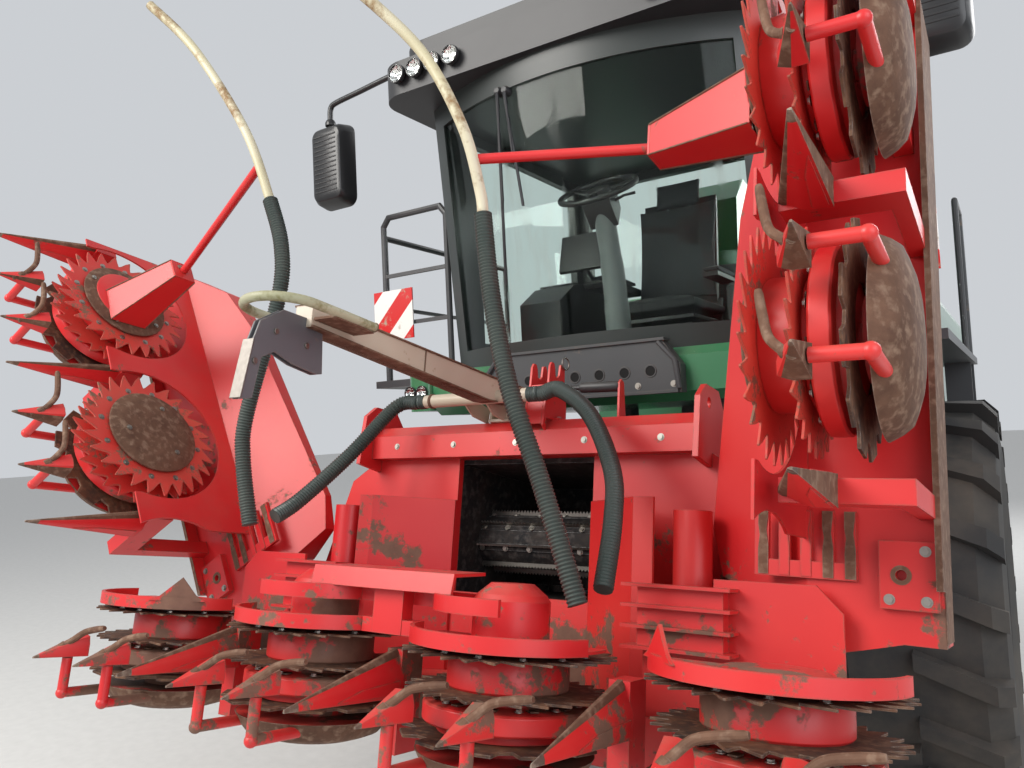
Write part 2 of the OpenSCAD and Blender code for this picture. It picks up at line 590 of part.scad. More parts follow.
// Rotor of the header, drawn with its axis on Z and its upper disc at the origin
function tooth_pts(r, root, n) = [for (k = [0:n - 1]) each [
    [r * cos(360 * k / n), r * sin(360 * k / n)],
    [root * cos(360 * (k + 0.18) / n), root * sin(360 * (k + 0.18) / n)],
    [root * cos(360 * (k + 0.62) / n), root * sin(360 * (k + 0.62) / n)]]];
module toothed_disc(r, root, n, t) linear_extrude(t) polygon(tooth_pts(r, root, n));
module rotor() difference() {
    union() {
        translate([0, 0, -8]) toothed_disc(disc_r, disc_r - 52, teeth, 8);
        translate([0, 0, -100]) cylinder(r = drum_r, h = 92);
        translate([0, 0, -108]) toothed_disc(disc_r - 16, disc_r - 66, teeth, 8);
        translate([0, 0, -128]) cylinder(r = drum_r, h = 20);
        translate([0, 0, -190]) cylinder(r = drum_r + 64, h = 62);
        translate([0, 0, -rotor_h + 10]) cylinder(r = drum_r + 20, h = rotor_h - 200);
        translate([0, 0, -rotor_h]) toothed_disc(disc_r - 10, drum_r + 70, 12, 10);
    }
    translate([0, 0, -rotor_h - 1]) cylinder(r = shaft_r + run_gap, h = rotor_h + 2);
}
module centre_rotor(i) color("#c63a32") header_place() translate([row_x(i), 0, 0]) rotor();
module wing_rotor_at(side, fold, k) color("#c63a32") wing_place(side, fold)
    translate([wing_rotor + k * rotor_pitch, 0, -hinge_rise]) rotor();
module rotor_1() wing_rotor_at(-1, right_fold, 1);
module rotor_2() wing_rotor_at(-1, right_fold, 0);
module rotor_3() centre_rotor(-1);
module rotor_4() centre_rotor(0);
module rotor_5() centre_rotor(1);
module rotor_6() centre_rotor(2);
module rotor_7() wing_rotor_at(1, left_fold, 0);
module rotor_8() wing_rotor_at(1, left_fold, 1);

// Fixed foot of a rotor: skid dish, arm to the rear beam and the shaft that the rotor turns on
skid_z = -345;
beam_y = [400, 590];
cap_z = 8 + move_gap;
module rotor_foot(reach = beam_y[0]) {
    translate([0, 0, skid_z]) rotate_extrude() polygon([[0, 0], [150, 8], [215, 30], [250, 80], [0, 80]]);
    box([-80, 80], [0, reach], [skid_z + 40, -250]);
    translate([0, 0, -300]) cylinder(r = 110, h = 300 - rotor_h - move_gap);
    translate([0, 0, -300]) cylinder(r = shaft_r, h = 300 + cap_z);
    // Brackets that carry the small dividers
    for (x = [-rotor_pitch / 6, rotor_pitch / 6]) translate([x, 0, 0]) {
        translate([0, 0, skid_z + 56]) ycyl(17, [-disc_r - 52, -150]);
        translate([0, -disc_r - 52, skid_z + 56]) sphere(r = 20);
        translate([0, -disc_r - 52, skid_z + 56]) cylinder(r = 17, h = base_z - skid_z - 56);
    }
}
module divider_post() {
    box([-30, 30], [-60, 40], [skid_z + 15, -30]);
    box([-30, 30], [0, beam_y[0]], [skid_z + 15, skid_z + 60]);
}
hinge_r = 25;
lug_spans = [[358, 395], [597, 647]];
module header_frame() color("#c63a32") header_place() {
    difference() {
        front_profile([[-1040, -340], [1040, -340], [1040, 150], [900, 560], [760, 650], [-760, 650],
            [-900, 560], [-1040, 150]], [620, 650]);
        box([-mouth_half, mouth_half], [600, 700], [120, 651]);
    }
    side_profile([[553, mouth_top], [553, 745], [600, 790], [740, 790], [760, 760], [760, mouth_top]], [-740, 740]);
    for (x = [-760, 740]) difference() {
        side_profile([[480, 620], [500, 830], [560, 880], [690, 880], [760, 800], [760, mouth_top - 30],
            [650, 600], [650, mouth_top], [620, mouth_top], [620, 600]], [x, x + 20]);
        translate([0, 590, 820]) xcyl(20, [x - 1, x + 21]);
    }
    box([-1040, 1040], [320, 620], [-340, -180]);
    box([-1.5 * rotor_pitch - 80, 1.5 * rotor_pitch + 80], [320, 392], [-340, -250]);
    for (i = [-1:2]) translate([row_x(i), 0, 0]) rotor_foot(beam_y[0] - 8);
    for (x = [-rotor_pitch, 0, rotor_pitch]) translate([x, 0, 0]) divider_post();
    both() {
        translate([rotor_pitch, 465, -180]) cylinder(r = 62, h = 620);
        translate([0, 0, -180]) linear_extrude(660) polygon([[mouth_half, 620], [mouth_half, 606], [570, 400], [640, 400],
            [640, 414], [576, 414], [mouth_half + 8, 620]]);
        // Guard plate behind the outer rotor and the stack of stripper plates beside it
        front_profile([[640, -182], [1038, -182], [1220, -40], [1220, 160], [1150, 232], [860, 232], [860, 150],
            [640, 150]], [340, 352]);
        for (z = [18, 78, 138, 198]) box([600, 935], [255, 341], [z, z + 10]);
        box([640, 905], [290, 341], [20, 206]);
        for (y = lug_spans) translate([hinge_x, 0, hinge_rise]) {
            ycyl(50, y);
            box([-54, 0], y, [-50, 50]);
        }
        translate([hinge_x, 0, hinge_rise]) ycyl(hinge_r, [lug_spans[0][0] - 10, lug_spans[1][1] + 10]);
        box([1020, 1030], [lug_spans[0][0], 620], [-180, hinge_rise]);
    }
}
// Feeder between the header and the chopper drum, its arms hang on the drum's bearings
roller_at = [0, 900, 330];
feeder_tail = in_header([0, -480, 1050]);
feeder_crown = in_header([0, -440, 1560]);
feeder_pivot = in_header([0, pivot_y, pivot_z]);
module feeder_house() color("#4a4d50") header_place() {
    difference() {
        union() {
            side_profile([[650, 60], [650, mouth_top - 2], [762, mouth_top - 1], [feeder_crown[1], feeder_crown[2]],
                [feeder_tail[1], feeder_tail[2]]], [-feed_half, feed_half]);
            both() side_profile([[1500, 620], [feeder_pivot[1] - 60, feeder_pivot[2] + 110],
                [feeder_pivot[1] + 60, feeder_pivot[2] + 110], [feeder_pivot[1] + 110, feeder_pivot[2]],
                [feeder_pivot[1] + 60, feeder_pivot[2] - 110], [feeder_pivot[1] - 60, feeder_pivot[2] - 110],
                [1500, 260]], [feed_half, feed_half + 30]);
        }
        side_profile([[640, 90], [640, mouth_top - 20], [1350, 600], [1350, 130]], [-mouth_half, mouth_half]);
        translate(feeder_pivot) xcyl(60 + run_gap, [-feed_half - 40, feed_half + 40]);
    }
    translate(roller_at) xcyl(30, [-mouth_half - 1, mouth_half + 1]);
    for (s = [-1, 1], e = [-1, 1]) side_profile([[1200, 150], [1340, 150], [1310, -60], [1230, -60]],
        [s * lift_x + e * 45 - 10, s * lift_x + e * 45 + 10]);
    for (s = [-1, 1]) translate([0, 1270, -30]) xcyl(lift_pin_r, [s * lift_x - 60, s * lift_x + 60]);
}
module feed_roller() color("#2f3133") header_place() translate(roller_at) {
    difference() {
        union() {
            xcyl(110, [-mouth_half + move_gap, mouth_half - move_gap]);
            for (k = [0:7]) rotate([45 * k, 0, 0])
                box([-mouth_half + move_gap, mouth_half - move_gap], [-6, 6], [100, 135]);
        }
        xcyl(30 + run_gap, [-400, 400]);
    }
}
base_z = -170;
// One divider: a roof shaped cone from its tip back to its post
module divider(w, h, back) {
    y0 = -tip_ahead;
    polyhedron([[0, y0, base_z], [-w, back, base_z], [-w, back, base_z + h * 0.5], [0, back, base_z + h],
        [w, back, base_z + h * 0.5], [w, back, base_z]],
        [[0, 1, 2], [0, 2, 3], [0, 3, 4], [0, 4, 5], [0, 5, 1], [1, 5, 4, 3, 2]]);
}
module small_divider() {
    divider(40, 76, -disc_r - 4);
    legs = [[0, -disc_r - 80, base_z + 30], [45, -disc_r - 34, base_z + 82], [165, -disc_r - 30, base_z + 112]];
    rail_tube(legs, 10, unit(cross(legs[1] - legs[0], legs[2] - legs[1])), 8);
}
module header_dividers() color("#c63a32") header_place() {
    for (x = [-rotor_pitch, 0, rotor_pitch]) translate([x, 0, 0]) divider(42, 140, -60);
    for (i = [-1:2], s = [-1, 1]) translate([row_x(i) + s * rotor_pitch / 6, 0, 0]) small_divider();
}
module rotor_cap(r, h) rotate_extrude() polygon([[0, 0], [r, 0], [r, h * 0.3], [r * 0.8, h * 0.8], [r * 0.5, h], [0, h]]);
// The front half of a ring around a rotor
module front_band(r, t, z, y_cut) difference() {
    translate([0, 0, z[0]]) cylinder(r = r, h = z[1] - z[0]);
    translate([0, 0, z[0] - 1]) cylinder(r = r - t, h = z[1] - z[0] + 2);
    box([-400, 400], [y_cut, 400], [z[0] - 2, z[1] + 2]);
}
// Raised peak on an outer guard, standing along its ring
module guard_peak(r, turn) rotate([0, 0, turn]) front_profile([[-95, cap_z + 30], [95, cap_z + 30], [60, cap_z + 52],
    [10, cap_z + 112], [-60, cap_z + 46]], [-r - 2, -r + 8]);
module dome(r, z0, h) translate([0, 0, z0]) rotate_extrude() polygon([[0, 0], [r, 0], [r, h * 0.72], [r * 0.9, h * 0.82],
    [r * 0.56, h], [0, h]]);
module rotor_guards() color("#c63a32") header_place() {
    half = rotor_pitch / 2;
    for (s = [-1, 1]) translate([s * half, 0, 0]) {
        dome(113, cap_z, 172);
        front_band(290, 12, [cap_z, cap_z + 44], -60);
        difference() {
            translate([0, 0, cap_z + 4]) cylinder(r = 284, h = 8);
            box([-400, 400], [60, 400], [0, 60]);
        }
        difference() {
            front_band(228, 12, [cap_z + 88, cap_z + 134], -20);
            box([s > 0 ? 90 : -400, s > 0 ? 400 : -90], [-400, 400], [0, 300]);
        }
        box([s > 0 ? -222 : 95, s > 0 ? -95 : 222], [-28, -20], [cap_z + 88, cap_z + 134]);
    }
    // Middle post and the folded cover that joins the two domes
    box([-58, 58], [-112, -62], [cap_z, cap_z + 186]);
    box([275 - half, half - 275], [-110, -58], [cap_z, cap_z + 44]);
    box([217 - half, half - 217], [-62, -20], [cap_z + 88, cap_z + 134]);
    side_profile([[-150, cap_z + 132], [-138, cap_z + 190], [20, cap_z + 196], [20, cap_z + 186], [-128, cap_z + 180],
        [-140, cap_z + 130]], [75 - half, half - 113]);
    for (s = [-1, 1]) translate([s * 1.5 * rotor_pitch, 0, 0]) {
        translate([0, 0, cap_z]) rotor_cap(150, 26);
        front_band(300, 12, [cap_z, cap_z + 42], -20);
        difference() {
            translate([0, 0, cap_z + 4]) cylinder(r = 294, h = 8);
            box([-400, 400], [60, 400], [0, 60]);
        }
        guard_peak(294, -s * 48);
    }
}
// Guide boom over the middle of the header, with the tube stubs that carry the sleeves
boom_root = [-60, 560, 790];
stub_at = [-130, 450, 862];
stub_half = 245;
module guide_boom() color("#cfc8b8") header_place() {
    translate(boom_root) rotate([0, 0, boom_swing]) {
        box([-90, 90], [20, 120], [0, 62]);
        side_profile([[120, 60], [120, 150], [-180, 140], [-1130, 130], [-1130, 60], [-180, 40], [0, 60]], [-38, 38]);
        side_profile([[-1060, 62], [-1046, -56], [-1160, -55], [-1258, -23], [-1273, -173], [-1327, -183],
            [-1300, 40], [-1130, 90]], [-12, 12]);
        translate([0, -1195, 95]) rail_tube([for (a = [100:20:440]) [112 * cos(a), 112 * sin(a), 0]], 13, [0, 0, 1]);
    }
    translate(stub_at) xcyl(26, [-stub_half, stub_half]);
}
left_sleeve = [[-375, 450, 862], [-400, 450, 862], [-425, 450, 862], [-523, 430, 841], [-625, 300, 629], [-687, 120, 433],
    [-700, 19, 362]];
right_sleeve = [[115, 450, 862], [145, 450, 862], [175, 450, 862], [259, 430, 866], [421, 360, 752], [558, 260, 550], [609, 170, 388],
    [642, 50, 187]];
module boom_sleeves() color("#1d2421") header_place() {
    swept_tube(left_sleeve, 30);
    swept_tube(right_sleeve, 30);
}

// Folding wings
beam_top = -180 - hinge_rise;
wing_middle = wing_rotor + rotor_pitch / 2;
wing_len = wing_middle + rotor_pitch + 20;
module wing_frame() {
    // Round eye of the fold hinge and the plates that join it to the beam
    difference() {
        union() {
            ycyl(45, [400, 592]);
            front_profile([[0, -40], [0, 40], [140, 40], [140, beam_top - 60], [60, beam_top - 60]], [400, 592]);
        }
        ycyl(hinge_r + run_gap, [390, 600]);
    }
    box([60, wing_len], beam_y, [beam_top - 160, beam_top]);
    // Sloping cover over the beam
    intersection() {
        side_profile([[400, beam_top - 1], [400, -30], [560, 310], [592, 310], [592, beam_top - 1]], [140, wing_len]);
        front_profile([[140, beam_top - 1], [wing_len, beam_top - 1], [wing_len, -60], [wing_len - 280, 150],
            [wing_len - 540, 210], [350, 300], [200, 260], [140, 100]], [300, 700]);
    }
    // Comb plate beside the hinge, the hinge plate with its hole and the skid rail
    difference() {
        box([215, 405], [384, 401], [-165, 115]);
        for (z = [-120, -60, 0, 60]) box([262, 406], [380, 402], [z - 14, z + 14]);
    }
    difference() {
        box([150, 330], [372, 401], [beam_top - 150, beam_top - 6]);
        translate([240, 0, beam_top - 60]) ycyl(14, [371, 402]);
    }
    box([205, wing_len], [340, 401], [beam_top - 160, beam_top - 150]);
    for (k = [0, 1]) translate([wing_rotor + k * rotor_pitch, 0, -hinge_rise]) rotor_foot();
    for (x = [-1, 0, 1]) translate([wing_middle + x * rotor_pitch, 0, -hinge_rise]) divider_post();
    // Deck plate around the rotors
    difference() {
        box([wing_rotor - 470, wing_len - 40], [-140, 402], [4 - hinge_rise, 12 - hinge_rise]);
        for (k = [-1:1]) translate([wing_rotor + k * rotor_pitch, 0, -hinge_rise]) cylinder(r = disc_r + 18, h = 30);
        for (k = [0, 1]) translate([wing_rotor + k * rotor_pitch, -150, -hinge_rise]) box([-disc_r, disc_r], [-1, 60], [0, 30]);
    }
}
module wing_frame_left() color("#c63a32") wing_place(1, left_fold) wing_frame();
module wing_frame_right() color("#c63a32") wing_place(-1, right_fold) wing_frame();
box_end = cap_z - hinge_rise + 362;
module wing_dividers() translate([0, 0, -hinge_rise]) {
    for (x = [-1, 0, 1]) translate([wing_middle + x * rotor_pitch, 0, 0]) divider(42, 140, -60);
    for (k = [0, 1], s = [-1, 1]) translate([wing_rotor + k * rotor_pitch + s * rotor_pitch / 6, 0, 0]) small_divider();
    for (k = [0, 1]) translate([wing_rotor + k * rotor_pitch, 0, cap_z]) rotor_cap(200, 26);
    translate([box_at[0], 0, cap_z + 26]) hull() {
        box([-85, 85], [-110, 60], [-6, 0]);
        translate([0, box_at[1], 326]) box([-50, 50], [-52, 52], [0, 10]);
    }
}
module wing_dividers_left() color("#c63a32") wing_place(1, left_fold) wing_dividers();
module wing_dividers_right() color("#c63a32") wing_place(-1, right_fold) wing_dividers();
pole_left = [[1280, -100, 854], [1358, -120, 859], [1555, -200, 893], [1821, -280, 1033], [2025, -430, 1222]];
sleeve_left = [[100, -40, 470], [435, -60, 602], [701, -80, 715], [989, -90, 799], [1280, -100, 854]];
brace_left = [1455, -156, 876];
pole_right = [[1180, -120, 1055], [1486, -200, 1113], [1962, -300, 1082], [2234, -420, 1027]];
sleeve_right = [[77, -50, 433], [311, -70, 504], [464, -80, 596], [777, -90, 912], [966, -100, 1017],
    [1180, -120, 1055]];
brace_right = [1330, -158, 1092];
// The brace stands flat on the end of the box over the outer rotor
module guide_pole(pole, sleeve, top) {
    foot = [box_at[0], box_at[1], box_end];
    swept_tube(pole, 20);
    swept_tube(sleeve, 30);
    translate(foot) cylinder(r = 24, h = 30);
    bar(foot + [0, 0, 12], top + [0, 10, 0], 16);
}
module guide_pole_left() color("#cfc8b8") wing_place(1, left_fold) guide_pole(pole_left, sleeve_left, brace_left);
module guide_pole_right() color("#cfc8b8") wing_place(-1, right_fold)
    guide_pole(pole_right, sleeve_right, brace_right);

// Spout
turret_z = turret_seat_z + 2;
lift_y = spout_y + 120;
lift_z = 3330;
arm_half = spout_w / 2;
module spout_turret() color("#3f9a50") machine() {
    translate([0, spout_y, turret_z - 2]) difference() {
        cylinder(r = 330, h = 92);
        translate([0, 0, -1]) cylinder(r = 270 + run_gap, h = 94);
    }
    for (s = [-1, 1]) difference() {
        side_profile([[spout_y - 300, turret_z + 90], [spout_y + 300, turret_z + 90], [spout_y + 260, 3380],
            [spout_y - 80, 3460], [spout_y - 260, 3300]], s > 0 ? [arm_half + 14, arm_half + 30] : [-arm_half - 30, -arm_half - 14]);
        translate([0, lift_y, lift_z]) xcyl(25, [-400, 400]);
    }
    side_profile([[spout_y - 300, turret_z + 90], [spout_y - 280, turret_z + 90], [spout_y - 245, 3300],
        [spout_y - 70, 3445], [spout_y - 80, 3460], [spout_y - 260, 3300]], [-arm_half - 14, arm_half + 14]);
}
arm_rise = 260;
function arm_top(t) = [lift_y - 60 + t * spout_len, lift_z + 60 + arm_rise * sin(180 * min(1, t * 0.9 + 0.1))];
function arm_low(t) = [lift_y - 60 + t * spout_len, lift_z - 110 + arm_rise * sin(180 * min(1, t * 0.9 + 0.1)) + 60 * t];
module spout_arm() color("#3f9a50") machine() {
    difference() {
        side_profile(concat([for (k = [0:10]) arm_low(k / 10)], [for (k = [10:-1:0]) arm_top(k / 10)]),
            [-arm_half, arm_half]);
        translate([0, 0, -12]) side_profile(concat([for (k = [0:10]) arm_low(k / 10) - [0, 200]],
            [for (k = [10:-1:0]) arm_top(k / 10)]), [-arm_half + 12, arm_half - 12]);
    }
    translate([0, lift_y, lift_z]) xcyl(25 - run_gap, [-arm_half - 30, arm_half + 30]);
    translate([0, flap_y, flap_z]) xcyl(10, [-arm_half - 24, arm_half + 24]);
}
// Hinge of the end flap, its walls straddle the arm's end
flap_y = lift_y - 80 + spout_len;
flap_z = arm_top(1)[1] - 40;
module spout_flap() color("#3f9a50") machine() translate([0, flap_y, flap_z]) difference() {
    union() {
        for (x = [-arm_half - 20, arm_half + 8]) side_profile([[-28, -30], [-28, 18], [0, 32], [50, 30], [230, -30],
            [340, -260], [240, -260], [120, -110], [0, -40]], [x, x + 12]);
        side_profile([[52, 18], [50, 30], [230, -30], [340, -260], [328, -262], [222, -40]],
            [-arm_half - 20, arm_half + 20]);
    }
    xcyl(10 + run_gap, [-arm_half - 30, arm_half + 30]);
}

// Lift cylinders under the feeder. The rod's eye has play, because it drifts from its pin as the header rises
lift_dir = lift_eye - lift_foot;
lift_pin_r = 20;
eye_play = 9;
module lift_barrels() color("#2f3133") machine() both() translate(lift_foot) difference() {
    union() {
        xcyl(34, [-34, 34]);
        bar([0, 0, 0], 0.1 * lift_dir, 28);
        bar(0.075 * lift_dir, 0.66 * lift_dir, 48);
    }
    xcyl(20 + run_gap, [-50, 50]);
    bar(0.12 * lift_dir, 0.7 * lift_dir, 28 + run_gap);
}
module lift_rods() color("#b9bcbe") machine() both() translate(lift_foot) difference() {
    union() {
        bar(0.3 * lift_dir, 0.97 * lift_dir, 28);
        translate(lift_dir) xcyl(lift_pin_r + eye_play + 16, [-30, 30]);
    }
    translate(lift_dir) xcyl(lift_pin_r + eye_play, [-50, 50]);
}

chassis_frame();
front_axle();
rear_axle();
engine_block();
chopper_housing();
fuel_tank();
body_shell();
front_bodywork();
cab_shell();
cab_glass();
cab_roof();
cab_interior();
lamps();
platforms();
warning_boards();
mirrors();
exhaust();
rear_hitch();
cab_door();
cab_door_glass();
rear_hood();
side_door_left();
side_door_right();
front_tyre_left();
front_tyre_right();
front_rim_left();
front_rim_right();
rear_tyre_left();
rear_tyre_right();
rear_rim_left();
rear_rim_right();
knuckle_left();
knuckle_right();
header_frame();
feeder_house();
feed_roller();
header_dividers();
rotor_guards();
guide_boom();
boom_sleeves();
wing_frame_left();
wing_frame_right();
wing_dividers_left();
wing_dividers_right();
guide_pole_left();
guide_pole_right();
rotor_1();
rotor_2();
rotor_3();
rotor_4();
rotor_5();
rotor_6();
rotor_7();
rotor_8();
spout_turret();
spout_arm();
spout_flap();
lift_barrels();
lift_rods();
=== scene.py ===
import bpy, bmesh, json, math, random
from mathutils import Matrix, Vector


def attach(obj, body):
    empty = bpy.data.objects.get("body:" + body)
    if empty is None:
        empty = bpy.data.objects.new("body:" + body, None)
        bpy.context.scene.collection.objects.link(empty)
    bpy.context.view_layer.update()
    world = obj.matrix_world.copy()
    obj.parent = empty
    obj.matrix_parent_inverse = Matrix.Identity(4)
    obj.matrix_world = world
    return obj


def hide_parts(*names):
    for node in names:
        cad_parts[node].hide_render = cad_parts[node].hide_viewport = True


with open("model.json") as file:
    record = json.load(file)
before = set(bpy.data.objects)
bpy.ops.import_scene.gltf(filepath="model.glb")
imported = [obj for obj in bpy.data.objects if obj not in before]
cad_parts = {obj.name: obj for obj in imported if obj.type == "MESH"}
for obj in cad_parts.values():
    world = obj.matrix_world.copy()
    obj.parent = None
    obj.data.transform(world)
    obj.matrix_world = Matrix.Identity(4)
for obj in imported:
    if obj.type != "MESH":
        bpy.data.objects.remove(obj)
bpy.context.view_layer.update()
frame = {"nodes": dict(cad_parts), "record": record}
nodes = frame["nodes"]
scene = bpy.context.scene
scene.view_settings.view_transform = "Standard"
print("loaded", len(nodes), "nodes")


def at(x, y, z):
    return Matrix.Translation((x, y, z))


def turned(axis, degrees):
    return Matrix.Rotation(math.radians(degrees), 4, axis)


def polar(radius, angle):
    return radius * math.cos(angle), radius * math.sin(angle)


def circle(count, start=0.0):
    return [start + math.tau * k / count for k in range(count)]


# Where the machine, its header and its wings stand, in metres and degrees
layout = {
    "machineX": 0.391, "frontAxleY": -1.242, "rotorAhead": 2.5, "discZ": 1.231, "headerPitch": 11.0,
    "hingeX": 1.08, "hingeRise": 0.037, "foldLeft": 89.0, "foldRight": 59.0, "rowPitch": 0.75,
    "wingRotor": 0.795,
}
rowPitch, hingeRise, firstRotor = layout["rowPitch"], layout["hingeRise"], layout["wingRotor"]
wings = ((1, "left"), (-1, "right"))
up = (0, 0, 1)
machineFrame = at(layout["machineX"], layout["frontAxleY"], 0)
headerFrame = (at(layout["machineX"], layout["frontAxleY"] - layout["rotorAhead"], layout["discZ"])
               @ turned("X", -layout["headerPitch"]))


def flipped(side):
    return Matrix.Diagonal((side, 1, 1, 1))


def wingFrame(side):
    fold = layout["foldLeft"] if side > 0 else layout["foldRight"]
    return headerFrame @ flipped(side) @ at(layout["hingeX"], 0, hingeRise) @ turned("Y", -fold)


def linked(name, data):
    holder = bpy.data.objects.new(name, data)
    scene.collection.objects.link(holder)
    return holder


# Camera at the photograph's place, given in the machine's frame
cameraPlace = {"yaw": 32.43, "pitch": 3.136, "roll": 2.767, "from": (1.660, -4.4405, 1.870), "lens": 27.974}


def makeCamera(place):
    a, t, r = (math.radians(place[k]) for k in ("yaw", "pitch", "roll"))
    forward = Vector((-math.sin(a) * math.cos(t), math.cos(a) * math.cos(t), math.sin(t)))
    level = Vector((math.cos(a), math.sin(a), 0))
    upright = level.cross(forward)
    right = level * math.cos(r) - upright * math.sin(r)
    over = level * math.sin(r) + upright * math.cos(r)
    data = bpy.data.cameras.new("photoCamera")
    data.lens = place["lens"]
    data.clip_start, data.clip_end = 0.05, 200
    camera = linked("photoCamera", data)
    view = Matrix((right, over, -forward)).transposed().to_4x4()
    view.translation = machineFrame @ Vector(place["from"])
    camera.matrix_world = view
    scene.camera = camera


makeCamera(cameraPlace)


# Sets a node's inputs, each by a value or by a socket to link
def setInputs(tree, node, inputs):
    for key, value in inputs.items():
        if isinstance(value, bpy.types.NodeSocket):
            tree.links.new(value, node.inputs[key])
        else:
            node.inputs[key].default_value = value
    return node


def addNode(tree, kind, inputs=None, **settings):
    node = tree.nodes.new(kind)
    for name, value in settings.items():
        setattr(node, name, value)
    return setInputs(tree, node, inputs or {})


def mathNode(tree, operation, a, b=0.0, clamp=False):
    return addNode(tree, "ShaderNodeMath", {0: a, 1: b}, operation=operation, use_clamp=clamp).outputs[0]


def mixColor(tree, factor, a, b):
    a, b = ((*v, 1) if isinstance(v, tuple) else v for v in (a, b))
    return addNode(tree, "ShaderNodeMix", {0: factor, 6: a, 7: b}, data_type="RGBA").outputs[2]


def ramp(tree, value, low, high):
    return addNode(tree, "ShaderNodeMapRange", {0: value, 1: low, 2: high}).outputs[0]


def noise(tree, coords, scale, detail=4.0, rough=0.55):
    inputs = {"Vector": coords, "Scale": scale, "Detail": detail, "Roughness": rough}
    return addNode(tree, "ShaderNodeTexNoise", inputs).outputs["Fac"]


def objectPlace(tree):
    return addNode(tree, "ShaderNodeTexCoord").outputs["Object"]


def axisOf(tree, vector, axis):
    return addNode(tree, "ShaderNodeSeparateXYZ", {0: vector}).outputs[axis]


def newGroup(name, inputs, outputs):
    group = bpy.data.node_groups.new(name, "ShaderNodeTree")
    for label in inputs:
        group.interface.new_socket(label, in_out="INPUT", socket_type="NodeSocketFloat")
    for label in outputs:
        group.interface.new_socket(label, in_out="OUTPUT", socket_type="NodeSocketFloat")
    return group, group.nodes.new("NodeGroupInput").outputs, group.nodes.new("NodeGroupOutput")


# Worn edges, found where a rounded normal leaves the true one, broken up by a noise
def buildEdgeGroup():
    g, given, out = newGroup("edgeWear", ("Radius", "Spread", "Breakup"), ("Mask",))
    soft = addNode(g, "ShaderNodeBevel", {"Radius": given["Radius"]}, samples=4)
    true = addNode(g, "ShaderNodeNewGeometry")
    normals = {0: soft.outputs[0], 1: true.outputs["Normal"]}
    dot = addNode(g, "ShaderNodeVectorMath", normals, operation="DOT_PRODUCT")
    away = mathNode(g, "SUBTRACT", 1.0, dot.outputs["Value"])
    grain = noise(g, objectPlace(g), given["Breakup"], 6, 0.65)
    edge = mathNode(g, "MULTIPLY", ramp(g, away, 0.01, 0.22), ramp(g, grain, 0.36, 0.58))
    setInputs(g, out, {"Mask": mathNode(g, "MULTIPLY", edge, given["Spread"], True)})
    return g


# Scuffs and bare patches in two sizes
def buildScuffGroup():
    g, given, out = newGroup("scuffs", ("Scale", "Low", "High"), ("Mask", "Fine"))
    coords = objectPlace(g)
    wide = noise(g, coords, given["Scale"], 8, 0.68)
    fine = noise(g, coords, mathNode(g, "MULTIPLY", given["Scale"], 9.0), 5, 0.6)
    mixed = mathNode(g, "ADD", mathNode(g, "MULTIPLY", wide, 0.72), mathNode(g, "MULTIPLY", fine, 0.28))
    setInputs(g, out, {"Mask": ramp(g, mixed, given["Low"], given["High"]), "Fine": fine})
    return g


# Dust that lies on faces that look up, and hangs lower on the machine
def buildDustGroup():
    g, given, out = newGroup("dust", ("Amount", "Scale", "Height"), ("Mask",))
    coords = objectPlace(g)
    facing = ramp(g, axisOf(g, addNode(g, "ShaderNodeNewGeometry").outputs["Normal"], "Z"), 0.2, 1.0)
    low = mathNode(g, "SUBTRACT", 1.0, mathNode(g, "DIVIDE", axisOf(g, coords, "Z"), given["Height"]), True)
    lie = mathNode(g, "ADD", mathNode(g, "MULTIPLY", facing, 0.75), low, True)
    cloud = ramp(g, noise(g, coords, given["Scale"], 7, 0.62), 0.38, 0.68)
    mask = mathNode(g, "MULTIPLY", mathNode(g, "MULTIPLY", lie, cloud), given["Amount"], True)
    setInputs(g, out, {"Mask": mask})
    return g


edgeGroup, scuffGroup, dustGroup = buildEdgeGroup(), buildScuffGroup(), buildDustGroup()


def useGroup(tree, group, **inputs):
    return addNode(tree, "ShaderNodeGroup", inputs, node_tree=group).outputs


def newMaterial(name):
    mat = bpy.data.materials.new(name)
    mat.use_nodes = True
    return mat, mat.node_tree, mat.node_tree.nodes["Principled BSDF"], objectPlace(mat.node_tree)


def bumpOf(tree, height, strength, distance):
    return addNode(tree, "ShaderNodeBump",
                   {"Height": height, "Strength": strength, "Distance": distance}).outputs[0]


# A value that grows by a share of a mask
def raised(tree, value, mask, share, clamp=False):
    return mathNode(tree, "ADD", value, mathNode(tree, "MULTIPLY", mask, share), clamp)


paintDefaults = {
    "edgeRadius": 0.008, "edge": 0.7, "breakup": 22.0, "scuffScale": 3.0, "scuffLow": 0.58, "scuffHigh": 0.64,
    "dust": 0.4, "dustScale": 6.0, "dustHeight": 1.3, "dustColor": (0.26, 0.19, 0.13), "roughness": 0.35,
    "coat": 0.15, "bump": 0.35,
}


